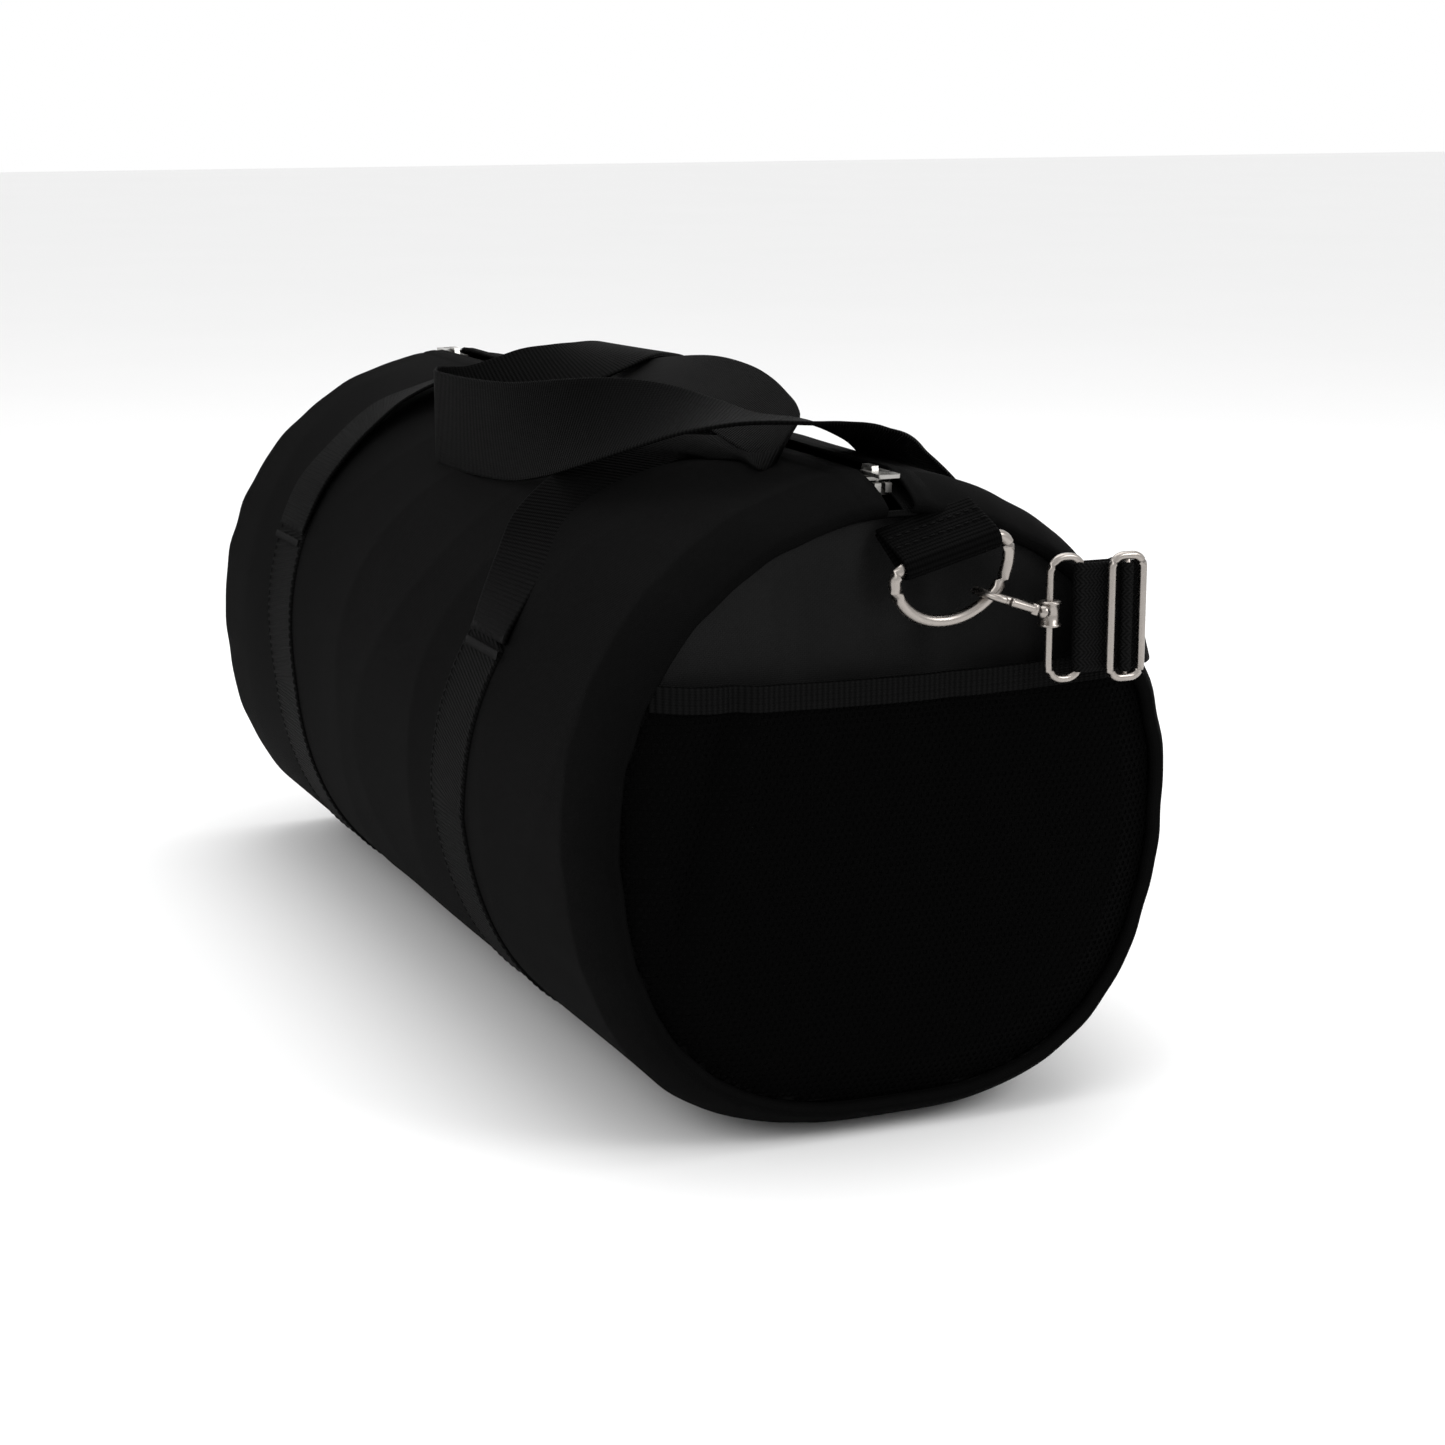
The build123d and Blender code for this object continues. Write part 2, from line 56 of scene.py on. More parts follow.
HALF, SIDE = box_mm("body_panel")[1][:2]  # half the barrel's length and width
MID = 115.0  # height of the barrel's middle
SHOULDER = 22.0  # the barrel rounds off over this length at each end
END_SHRINK = 0.92  # size of the section at the end seam, against the middle
WEB = 38.0  # width of the webbing
WEB_T = 1.6
TACK_Z = box_mm("webbing_run_right")[1][2]  # height of the bartacks
FLAP_EDGE = 5.4  # the zip flaps' folded edges stand this far from the zip's middle line
FLAP_REACH = 14.0  # and their doubled cloth reaches this far
FLAP_ROWS = (7.4, 11.6)  # their two rows of stitches

# ---- meshes ------------------------------------------------------------------------------------


def make(name, verts, faces, material, body, replaces=(), uv=None):
    """A piece from millimetre points; uv holds one (u, v) in metres for each point."""
    mesh = bpy.data.meshes.new(name)
    mesh.from_pydata([tuple(v) for v in np.asarray(verts, float) * MM], [], faces)
    mesh.validate()
    if uv is not None:
        layer = mesh.uv_layers.new(name="UVMap")
        loops = np.zeros(len(mesh.loops), np.int32)
        mesh.loops.foreach_get("vertex_index", loops)
        layer.data.foreach_set("uv", np.asarray(uv, np.float32)[loops].ravel())
    mesh.materials.append(material)
    mesh.polygons.foreach_set("use_smooth", [True] * len(mesh.polygons))
    piece = bpy.data.objects.new(name, mesh)
    bpy.context.scene.collection.objects.link(piece)
    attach(piece, body)
    if replaces:
        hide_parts(*replaces)
    return piece


def grid_faces(rows, cols, wrap=False):
    """Quads of a grid of points, closed round its columns if wrap."""
    faces = []
    for r in range(rows - 1):
        for c in range(cols if wrap else cols - 1):
            d = (c + 1) % cols
            faces.append((r * cols + c, r * cols + d, (r + 1) * cols + d, (r + 1) * cols + c))
    return faces


def thicken(piece, thickness, offset=-1.0):
    """Give a sheet its thickness, all inwards unless offset says otherwise."""
    mod = piece.modifiers.new("thickness", "SOLIDIFY")
    mod.thickness = thickness * MM
    mod.offset = offset
    return piece


def unit(v):
    v = np.asarray(v, float)
    return v / np.linalg.norm(v, axis=-1, keepdims=True)


# ---- materials ---------------------------------------------------------------------------------


class Nodes:
    """A material's nodes, made by short calls."""

    def __init__(self, name):
        self.material = bpy.data.materials.new(name)
        self.material.use_nodes = True
        self.tree = self.material.node_tree
        self.shader = self.tree.nodes["Principled BSDF"]

    def add(self, kind, **values):
        """A new node; values are its sockets' defaults or its own settings."""
        node = self.tree.nodes.new(kind)
        for key, value in values.items():
            if key in node.inputs:
                node.inputs[key].default_value = value
            else:
                setattr(node, key, value)
        return node

    def link(self, out, into):
        self.tree.links.new(out, into)

    def uv(self):
        return self.add("ShaderNodeUVMap", uv_map="UVMap").outputs["UV"]

    def place(self):
        return self.add("ShaderNodeTexCoord").outputs["Object"]

    def math(self, operation, a, b=0.0, c=None):
        node = self.add("ShaderNodeMath", operation=operation)
        for socket, value in zip(node.inputs, (a, b, c)):
            if value is None:
                continue
            if isinstance(value, (int, float)):
                socket.default_value = value
            else:
                self.link(value, socket)
        return node.outputs[0]

    def noise(self, vector, scale, detail=3.0, rough=0.55):
        node = self.add("ShaderNodeTexNoise", Scale=scale, Detail=detail, Roughness=rough)
        self.link(vector, node.inputs["Vector"])
        return node.outputs["Fac"]

    def split(self, vector):
        node = self.add("ShaderNodeSeparateXYZ")
        self.link(vector, node.inputs[0])
        return node.outputs

    def ramp(self, value, low, high):
        """Colour from low to high as value goes from 0 to 1."""
        node = self.add("ShaderNodeValToRGB")
        node.color_ramp.elements[0].color = (*low, 1)
        node.color_ramp.elements[1].color = (*high, 1)
        self.link(value, node.inputs["Fac"])
        return node.outputs["Color"]

    def finish(self, color=None, rough=None, height=None, bump=0.3, depth=0.0004):
        if color is not None:
            self.link(color, self.shader.inputs["Base Color"])
        if rough is not None:
            self.link(rough, self.shader.inputs["Roughness"])
        if height is not None:
            node = self.add("ShaderNodeBump", Strength=bump, Distance=depth)
            self.link(height, node.inputs["Height"])
            self.link(node.outputs["Normal"], self.shader.inputs["Normal"])
        return self.material


def grey(value):
    return (value, value, value)


def wave(n, coordinate, pitch):
    """0 to 1, once every pitch millimetres."""
    turns = n.math("MULTIPLY", coordinate, 2 * math.pi / (pitch * MM))
    return n.math("MULTIPLY_ADD", n.math("SINE", turns), 0.5, 0.5)


def plain_weave(name, low, high, pitch=0.55, rough=0.8, gloss=0.015, shade_and_lining_below=None):
    """Plain-woven cloth, its threads going over and under, with soft cloudy wear.

    The panel behind the mesh is darkened nearly to black from the floor up to the given height:
    painted shade in its recess, partly a darker lining cloth.
    """
    n = Nodes(name)
    u, v, _ = n.split(n.uv())
    warp = wave(n, u, pitch)
    weft = wave(n, v, pitch)
    over = n.math("GREATER_THAN", n.math("MULTIPLY",
                                         n.math("SUBTRACT", wave(n, u, 2 * pitch), 0.5),
                                         n.math("SUBTRACT", wave(n, v, 2 * pitch), 0.5)), 0.0)
    mix = n.add("ShaderNodeMix")
    n.link(over, mix.inputs[0])
    n.link(warp, mix.inputs[2])
    n.link(weft, mix.inputs[3])
    thread = mix.outputs[0]
    place = n.place()
    cloud = n.noise(place, 22.0, 4.0)
    slub = n.noise(place, 420.0, 2.0, 0.7)
    # the colour follows the threads' relief: painted highlight on their crowns and painted shade in
    # the hollows between them
    tone = n.math("MULTIPLY_ADD", thread, 0.35, n.math("MULTIPLY", cloud, 0.45))
    tone = n.math("MULTIPLY_ADD", slub, 0.35, tone)
    # painted shade: below the given height, behind the mesh, the cloth is darkened nearly to black,
    # partly for a darker lining
    if shade_and_lining_below is not None:
        above = n.math("GREATER_THAN", n.split(place)[2], shade_and_lining_below * MM)
        tone = n.math("MULTIPLY", tone, n.math("MULTIPLY_ADD", above, 0.97, 0.03))
    height = n.math("MULTIPLY_ADD", slub, 0.8, thread)
    n.shader.inputs["Roughness"].default_value = rough
    n.shader.inputs["Specular IOR Level"].default_value = gloss
    return n.finish(n.ramp(tone, low, high), None, height, 0.35, 0.00018)


def rib_weave(name, low, high, rib=1.7, slant=0.0, edge=True, gloss=0.03):
    """Webbing: ribs across its length, fine threads along it and denser stitched edges."""
    n = Nodes(name)
    u, v, _ = n.split(n.uv())
    across = n.math("ABSOLUTE", u)
    bent = n.math("MULTIPLY_ADD", n.math("PINGPONG", u, 0.0024), slant, v)
    ribs = wave(n, bent, rib)
    ends = wave(n, u, 0.95)
    place = n.place()
    cloud = n.noise(place, 60.0, 4.0)
    fuzz = n.noise(place, 900.0, 2.0, 0.8)
    body = n.math("MULTIPLY_ADD", n.math("POWER", ribs, 0.7), 0.75,
                  n.math("MULTIPLY", ends, 0.25))
    height = body
    if edge:
        rim = n.math("GREATER_THAN", across, (WEB / 2 - 2.6) * MM)
        seam = n.math("COMPARE", across, (WEB / 2 - 4.0) * MM, 0.55 * MM)
        height = n.math("MULTIPLY_ADD", rim, 0.35, n.math("MULTIPLY_ADD", seam, -0.75, body))
    # the colour follows the ribs' relief: painted highlight on the rib crowns and painted shade in
    # the hollows between ribs and threads
    tone = n.math("MULTIPLY_ADD", body, 0.85, n.math("MULTIPLY", cloud, 0.2))
    tone = n.math("MULTIPLY_ADD", fuzz, 0.25, n.math("SUBTRACT", tone, 0.1))
    n.shader.inputs["Roughness"].default_value = 0.6
    n.shader.inputs["Specular IOR Level"].default_value = gloss
    return n.finish(n.ramp(tone, low, high), None,
                    n.math("MULTIPLY_ADD", fuzz, 0.3, height), 0.75, 0.0006)


def metal(name, colour, rough):
    """Plated metal, a little cloudy and finely scratched."""
    n = Nodes(name)
    place = n.place()
    worn = n.noise(place, 160.0, 5.0, 0.65)
    fine = n.noise(place, 1400.0, 2.0)
    n.shader.inputs["Metallic"].default_value = 1.0
    dark = tuple(c * 0.72 for c in colour)
    return n.finish(n.ramp(worn, dark, colour),
                    n.math("MULTIPLY_ADD", worn, 0.22, rough),
                    n.math("MULTIPLY_ADD", fine, 0.4, worn), 0.05, 0.0002)


def thread_material(name, tone):
    """Twisted sewing thread."""
    n = Nodes(name)
    place = n.place()
    twist = n.noise(place, 2600.0, 2.0)
    n.shader.inputs["Roughness"].default_value = 0.6
    n.shader.inputs["Specular IOR Level"].default_value = 0.05
    return n.finish(n.ramp(twist, grey(tone * 0.6), grey(tone * 1.5)), None, twist, 0.4, 0.0001)


cloth = plain_weave("body_cloth", grey(0.0006), grey(0.0030))
# below 157 mm, behind the mesh pocket, the end cloth carries painted shade, partly a darker lining
end_cloth = plain_weave("end_cloth", grey(0.0012), grey(0.006), pitch=0.7, gloss=0.07, rough=0.6,
                        shade_and_lining_below=157.0)
webbing = rib_weave("webbing", grey(0.0001), grey(0.0021), gloss=0.012)
strap_web = rib_weave("strap_webbing", grey(0.0003), grey(0.006), rib=1.5, slant=0.9,
                      edge=False, gloss=0.02)
trim_web = rib_weave("trim_webbing", grey(0.0002), grey(0.003), rib=2.0, edge=False)
tape_web = rib_weave("zip_tape", grey(0.0006), grey(0.003), rib=0.8, edge=False)
mesh_cord = rib_weave("mesh_cord", grey(0.0003), grey(0.0012), rib=0.5, edge=False, gloss=0.012)
n = Nodes("zip_coil")
n.shader.inputs["Roughness"].default_value = 0.28
nylon = n.finish(n.ramp(n.noise(n.place(), 300.0), grey(0.012), grey(0.03)))
nickel = metal("nickel", (0.36, 0.33, 0.305), 0.17)
zip_nickel = metal("zip_nickel", (0.46, 0.45, 0.43), 0.18)
# black thread, toned darker than the cloth so the stitch rows read as dark lines: partly its own
# colour, partly painted shade along the rows
thread = thread_material("thread", 0.0005)

# ---- the barrel's surface ----------------------------------------------------------------------


FLAT_HALF = 12.0  # half the width of the flat underside
SIDE_HANDLE = 25.0  # how far the section keeps straight down from its widest point
TURN_HANDLE = 112.0  # how far out the curve into the underside reaches


def half_outline():
    """Half of the barrel's section from the top middle down to the bottom middle: y, z."""
    up = np.radians(np.linspace(90, 0, 90))
    top = np.stack([SIDE * np.cos(up), MID + MID * np.sin(up)], 1)
    t = np.linspace(0, 1, 90)[1:, None]
    a, b, c, d = (np.array(p, float) for p in ((SIDE, MID), (SIDE, MID - SIDE_HANDLE),
                                               (TURN_HANDLE, 0), (FLAT_HALF, 0)))
    low = a * (1 - t) ** 3 + 3 * b * t * (1 - t) ** 2 + 3 * c * t * t * (1 - t) + d * t ** 3
    return np.vstack([top, low, [[0, 0]]])


outline = half_outline()
steps = np.linalg.norm(np.diff(outline, axis=0), axis=1)
outline_s = np.concatenate([[0], np.cumsum(steps)])
GIRTH = outline_s[-1]
slope = np.gradient(outline, outline_s, axis=0)
outline_n = unit(np.stack([-slope[:, 1], slope[:, 0]], 1))
RUNS = {"right": (104.0, 130.0), "left": (-129.0, -144.0)}  # x of the runs, low and at the top
RUN_BEND = 97.0  # below this height a run goes straight round


def section(s):
    """y, z and outward normal (y, z) of the barrel's section at signed distance s from the top."""
    sign = np.where(s < 0, -1.0, 1.0)
    q = np.clip(np.abs(s), 0, GIRTH)
    y, z = (np.interp(q, outline_s, outline[:, k]) for k in (0, 1))
    ny, nz = (np.interp(q, outline_s, outline_n[:, k]) for k in (0, 1))
    return y * sign, z, ny * sign, nz


waves = [(rng.uniform(-1, 1) / 38, rng.uniform(-1, 1) / 46, rng.uniform(0, 6.3))
         for _ in range(14)]
creases = [(rng.uniform(-1, 1) / 17, rng.uniform(-1, 1) / 24, rng.uniform(0, 6.3))
           for _ in range(10)]


def run_middle(z, side):
    """x of a sewn run's middle at height z."""
    low, high = RUNS[side]
    f = np.clip((z - RUN_BEND) / (TACK_Z - RUN_BEND), 0, 1.4)
    return low + (high - low) * f


def dent(x, s, z):
    """How far the soft barrel stands out of its ideal surface, in millimetres."""
    soft = sum(np.sin(a * x + b * s + p) for a, b, p in waves) / len(waves) ** 0.5
    fold = sum(np.sin(a * x + b * s + p) for a, b, p in creases) / len(creases) ** 0.5
    sharp = -np.abs(fold) ** 0.7
    near_end = np.clip((np.abs(x) - (HALF - 60)) / 45, 0, 1)
    gather = near_end * (0.3 * np.sin(s / 5.3 + 1.3 * np.sin(s / 23)) + 0.15 * np.sin(s / 3.1))
    under = np.clip((60 - z) / 50, 0, 1)
    calm = (1 - 0.8 * under) * np.clip((np.abs(s) - 18) / 25, 0.12, 1)
    out = (0.7 * soft + 0.6 * sharp) * calm + gather * (1 - 0.7 * under)
    for side in RUNS:
        away = np.abs(x - run_middle(z, side))
        held = np.exp(-(away / 30) ** 2) * np.clip((185 - z) / 20, 0, 1)
        out = out * (1 - held) - 0.9 * held
    return out


def shoulder_drop(x):
    """0 along the barrel's straight part, and growing to 1 over its shoulders."""
    u = np.clip((np.abs(x) - (HALF - SHOULDER)) / SHOULDER, 0, 1)
    return 0.6 * u + 0.4 * u ** 3


def barrel_scale(x):
    """Size of the section at x, against the middle of the barrel."""
    return 1 - (1 - END_SHRINK) * shoulder_drop(x)


def barrel(x, s, out=0.0):
    """Point on the barrel, out millimetres off its surface."""
    x, s = np.broadcast_arrays(np.asarray(x, float), np.asarray(s, float))
    y, z, ny, nz = section(s)
    d = dent(x, s, z)
    y = y + ny * (d + out)
    z = z + nz * (d + out)
    k = barrel_scale(x)
    return np.stack([x, y * k, MID + (z - MID) * k], -1)


# ---- barrel, ends and their seams --------------------------------------------------------------

FINE = 20.0  # the mesh is finer up to this far from the zip's middle line
end = HALF - SHOULDER + np.linspace(0, SHOULDER, 14)
middle = np.linspace(-(HALF - SHOULDER), HALF - SHOULDER, 150)
stations = np.concatenate([-end[::-1], middle[1:-1], end])
around = np.concatenate([np.linspace(FLAP_EDGE, FINE, 12),
                         np.linspace(FINE, 2 * GIRTH - FINE, 232)[1:-1],
                         np.linspace(2 * GIRTH - FINE, 2 * GIRTH - FLAP_EDGE, 12)])
around = np.where(around > GIRTH, around - 2 * GIRTH, around)
grid_x, grid_s = np.meshgrid(stations, around, indexing="ij")


def flap_lift(s):
    """The flaps are a folded double layer with two rows of stitching."""
    q = np.abs(s)
    fold = 0.9 * np.clip((FLAP_REACH - q) / 1.2, 0, 1)
    rows = sum(-0.5 * np.exp(-((q - row) / 0.6) ** 2) for row in FLAP_ROWS)
    return fold + rows * (q < FLAP_REACH)


points = barrel(grid_x, grid_s, flap_lift(grid_s) - 0.3)
points[..., 2] = np.maximum(points[..., 2], WEB_T + 0.15)  # the webbing passes underneath
rim = []  # the cloth turns in over each end seam
for sign, row in ((-1, 0), (1, -1)):
    rings = []
    for inward, shrink in ((0.7, 0.012), (1.4, 0.016), (4.0, 0.018)):
        ring = points[row].copy()
        ring[:, 0] = sign * (HALF - inward)
        ring[:, 1] *= 1 - shrink
        ring[:, 2] = MID + (ring[:, 2] - MID) * (1 - shrink)
        rings.append(ring)
    rim.append(rings)
points = np.concatenate([np.array(rim[0][::-1]), points, np.array(rim[1])])
rows, cols = points.shape[:2]
length_v = np.concatenate([[0], np.cumsum(np.linalg.norm(np.diff(points[:, cols // 2], axis=0),
                                                          axis=1))])
uv = np.stack(np.meshgrid(length_v * MM, np.unwrap(around, period=2 * GIRTH) * MM,
                          indexing="ij"), -1)
shell = make("body_shell", points.reshape(-1, 3), grid_faces(rows, cols), cloth, "root",
             ["body_panel"], uv.reshape(-1, 2))
thicken(shell, 1.2)


def end_cap(name, node, sign, bulge):
    """A soft end panel sewn into the rim; bulge(y, z) is how far each point stands out."""
    rings, spokes = 44, 168
    k = END_SHRINK * (1 - 0.0165)  # it lies just inside the turned rim
    s = np.linspace(-GIRTH, GIRTH, spokes, endpoint=False)
    y, z, _, _ = section(s)
    verts, coords = [], []
    for r in range(rings):
        rho = 1 - r / rings
        py, pz = y * k * rho, MID + (z - MID) * k * rho
        depth = bulge(py, pz) * np.clip((1 - rho) / 0.16, 0, 1) ** 0.8
        pucker = 0.5 * np.sin(s / 4.1 + np.sin(s / 17)) * np.exp(-((1 - rho) / 0.07) ** 2)
        px = HALF - 3.4 + depth + pucker * (rho < 0.999)
        verts.append(np.stack([sign * px, py, pz], 1))
        coords.append(np.stack([py, pz], 1) * MM)
    verts = np.vstack(verts)
    faces = grid_faces(rings, spokes, wrap=True)
    last = (rings - 1) * spokes
    faces.append(tuple(range(last, last + spokes)))
    cap = make(name, verts, faces, end_cloth, "root", [node], np.vstack(coords))
    thicken(cap, 0.8, 1.0 if sign > 0 else -1.0)
    return cap


def near_bulge(y, z):
    """Depth of the near panel: a soft hollow below the ring's tab and upright folds beside it."""
    up = np.clip((z - 150) / 40, 0, 1)
    lean = y + 0.10 * (z - 190)
    folds = (-4.6 * np.exp(-((lean - 18) / 13) ** 2) + 2.0 * np.exp(-((lean + 14) / 9) ** 2)
             - 2.2 * np.exp(-((lean + 38) / 8) ** 2) + 1.6 * np.exp(-((lean - 48) / 10) ** 2))
    small = 0.6 * np.sin(lean / 4.3 + 1.1 * np.sin(z / 19))
    return -1.2 + up * (1.6 * folds + small) + 0.5 * np.sin(y / 31 + z / 47)


def far_bulge(y, z):
    """Depth of the far panel: slack, with broad soft folds."""
    lean = y - 0.15 * (z - 115)
    return (-2.0 + 2.2 * np.sin(lean / 24 + 0.6) * np.sin(z / 63)
            + 0.8 * np.sin(lean / 9 + 1.4 * np.sin(z / 31)))


end_cap("end_cap_right", "end_panel_right", 1, near_bulge)
end_cap("end_cap_left", "end_panel_left", -1, far_bulge)


def tube_along(line, radius, sides=8, closed=False):
    """Round cord along points, as verts and faces."""
    line = np.asarray(line, float)
    n = len(line)
    if closed:
        ahead, behind = np.roll(line, -1, 0), np.roll(line, 1, 0)
    else:
        ahead, behind = np.vstack([line[1:], line[-1:]]), np.vstack([line[:1], line[:-1]])
    along = unit(ahead - behind)
    up = np.tile(np.array([0.0, 0.0, 1.0]), (n, 1))
    flat = np.abs(along[:, 2]) > 0.9
    up[flat] = (1, 0, 0)
    side = unit(np.cross(along, up))
    up = np.cross(side, along)
    turn = np.linspace(0, 2 * math.pi, sides, endpoint=False)
    radius = np.broadcast_to(radius, (n,))
    verts = (line[:, None] + radius[:, None, None] * (np.cos(turn)[None, :, None] * side[:, None]
                                                      + np.sin(turn)[None, :, None] * up[:, None]))
    faces = grid_faces(n, sides, wrap=True)
    if closed:
        last = (n - 1) * sides
        for c in range(sides):
            d = (c + 1) % sides
            faces.append((last + c, last + d, d, c))
    else:
        faces += [tuple(range(sides))[::-1], tuple(range((n - 1) * sides, n * sides))]
    return verts.reshape(-1, 3), faces


def merge(parts):
    """Several (verts, faces) as one."""
    verts, faces, base = [], [], 0
    for v, f in parts:
        verts.append(np.asarray(v, float))
        faces += [tuple(base + i for i in face) for face in f]
        base += len(v)
    return np.vstack(verts), faces


def stitch_parts(line, pitch=3.2, length=2.3, radius=0.32):
    """Short lying stitches along a line, each a little rounded lozenge."""
    line = np.asarray(line, float)
    s = np.concatenate([[0], np.cumsum(np.linalg.norm(np.diff(line, axis=0), axis=1))])
    count = max(int(s[-1] / pitch), 1)
    parts = []
    for k in range(count):
        middle = (k + 0.5) * s[-1] / count
        spots = middle + np.array([-0.5, -0.25, 0.25, 0.5]) * length
        p = np.stack([np.interp(spots, s, line[:, c]) for c in range(3)], 1)
        parts.append(tube_along(p, np.array([0.35, 1, 1, 0.35]) * radius, 6))
    return parts


for side, sign in (("right", 1), ("left", -1)):  # the binding on the seam inside each rim
    s = np.linspace(-GIRTH, GIRTH, 220, endpoint=False)
    y, z, _, _ = section(s)
    k = END_SHRINK * 0.978
    line = np.stack([np.full_like(y, sign * (HALF - 2.6)), y * k, MID + (z - MID) * k], 1)
    v, f = tube_along(line, 1.3, 8, closed=True)
    make(f"end_seam_{side}", v, f, trim_web, "root", [f"seam_binding_{side}"],
         np.stack([v[:, 1], v[:, 2]], 1) * MM)

# ---- webbing -----------------------------------------------------------------------------------

# columns of points across a webbing, from edge to edge, and its thickness there, which rounds off
COLUMNS = np.array([-1, -0.985, -0.95, -0.86, -0.7, -0.5, -0.25, 0,
                    0.25, 0.5, 0.7, 0.86, 0.95, 0.985, 1])
EDGE = np.sqrt(np.clip(1 - np.clip((np.abs(COLUMNS) - 0.93) / 0.07, 0, 1) ** 2, 0, 1))


def skin_ribbon(path, width, thickness, surface, base=0.2):
    """Webbing sewn flat on a surface: path gives (x, s, across x, across s) stations."""
    u = COLUMNS
    rows_out, uvs, along = [], [], 0.0
    last = None
    for x, s, ax, as_ in path:
        px, ps = x + u * width / 2 * ax, s + u * width / 2 * as_
        top = surface(px, ps, base + thickness * (0.35 + 0.65 * EDGE))
        low = surface(px, ps, np.full_like(u, base * 0.5 - 0.4))
        middle = top[len(u) // 2]
        if last is not None:
            along += float(np.linalg.norm(middle - last))
        last = middle
        rows_out.append(np.vstack([top, low[::-1]]))
        across = np.concatenate([u, u[::-1]]) * width / 2
        uvs.append(np.stack([across, np.full_like(across, along)], 1) * MM)
    n, ring = len(rows_out), 2 * len(u)
    faces = grid_faces(n, ring, wrap=True)
    faces += [tuple(range(ring))[::-1], tuple(range((n - 1) * ring, n * ring))]
    return np.vstack(rows_out), faces, np.vstack(uvs), rows_out


def run_surface(x, s, out):
    """The barrel's surface under the sewn webbing, flat on the floor underneath."""
    p = barrel(x, s, out)
    p[..., 2] = np.maximum(p[..., 2], np.clip(out, 0, 1.7))
    return p


def distance_down(z):
    """Distance round the section from the top to height z on its side."""
    return outline_s[np.argmin(np.abs(outline[:, 1] - z) + 1e3 * (outline[:, 0] < 40))]


def run_path(side):
    """Stations of a sewn run, from the front bartack round the underside to the rear one."""
    q = np.array([distance_down(z) for z in np.linspace(TACK_Z + 1.5, 6, 60)])
    q = np.concatenate([q, np.linspace(q[-1], GIRTH, 24)[1:]])
    signed = np.concatenate([-q, q[::-1][1:]])
    _, z, _, _ = section(signed)
    x = run_middle(z, side)
    s_cont = np.concatenate([-q, -(2 * GIRTH - q[::-1][1:])])
    dx, ds = np.gradient(x, s_cont), np.ones_like(x)
    norm = np.hypot(dx, ds)
    return [(x[i], signed[i], 1 / norm[i], -dx[i] / norm[i] * (1 if signed[i] < 0 else -1))
            for i in range(len(x))]


run_rows = {}
for side in RUNS:
    v, f, uvs, rows_out = skin_ribbon(run_path(side), WEB, WEB_T, run_surface)
    v[:, 2] = np.maximum(v[:, 2], 0.0)
    make(f"sewn_run_{side}", v, f, webbing, "root", [f"webbing_run_{side}"], uvs)
    run_rows[side] = np.array(rows_out)

# a row of stitches along each edge of the sewn webbing
parts = []
for side in RUNS:
    grid = run_rows[side][:, :len(COLUMNS)]
    for column in (2, 12):
        line = grid[:, column] * 0.35 + grid[:, column + (1 if column == 2 else -1)] * 0.65
        line = line[line[:, 2] > 3]
        front, rear = line[line[:, 1] < 0], line[line[:, 1] > 0]
        for half in (front, rear):
            if len(half) > 4:
                parts += stitch_parts(half, 3.4, 2.4, 0.33)
v, f = merge(parts)
make("run_stitches", v, f, thread, "root", ())


def curve_through(points):
    """A smooth line's parameter and tangent at each of the points it goes through."""
    p = np.asarray(points, float)
    chord = np.linalg.norm(np.diff(p, axis=0), axis=1) ** 0.5
    t = np.concatenate([[0], np.cumsum(chord)])
    tangent = np.zeros_like(p)
    for i in range(1, len(p) - 1):
        a, b = t[i] - t[i - 1], t[i + 1] - t[i]
        tangent[i] = ((p[i] - p[i - 1]) / a * b + (p[i + 1] - p[i]) / b * a) / (a + b)
    tangent[0] = (p[1] - p[0]) / (t[1] - t[0])
    tangent[-1] = (p[-1] - p[-2]) / (t[-1] - t[-2])
    return t, tangent


def sample(points, values, spacing):
    """Smoothly spaced samples of points and of the values that go with them."""
    p, v = np.asarray(points, float), np.asarray(values, float)
    t, tp = curve_through(p)
    tv = np.zeros_like(v)
    for i in range(1, len(v) - 1):
        tv[i] = (v[i + 1] - v[i - 1]) / (t[i + 1] - t[i - 1])
    out_p, out_v = [], []
    for i in range(len(p) - 1):
        n = max(int(np.linalg.norm(p[i + 1] - p[i]) / spacing), 2)
        h = t[i + 1] - t[i]
        for k in range(n + (i == len(p) - 2)):
            f = k / n
            h00, h10 = 2 * f ** 3 - 3 * f ** 2 + 1, f ** 3 - 2 * f ** 2 + f
            h01, h11 = -2 * f ** 3 + 3 * f ** 2, f ** 3 - f ** 2
            out_p.append(h00 * p[i] + h10 * h * tp[i] + h01 * p[i + 1] + h11 * h * tp[i + 1])
            out_v.append(h00 * v[i] + h10 * h * tv[i] + h01 * v[i + 1] + h11 * h * tv[i + 1])
    return np.array(out_p), np.array(out_v)


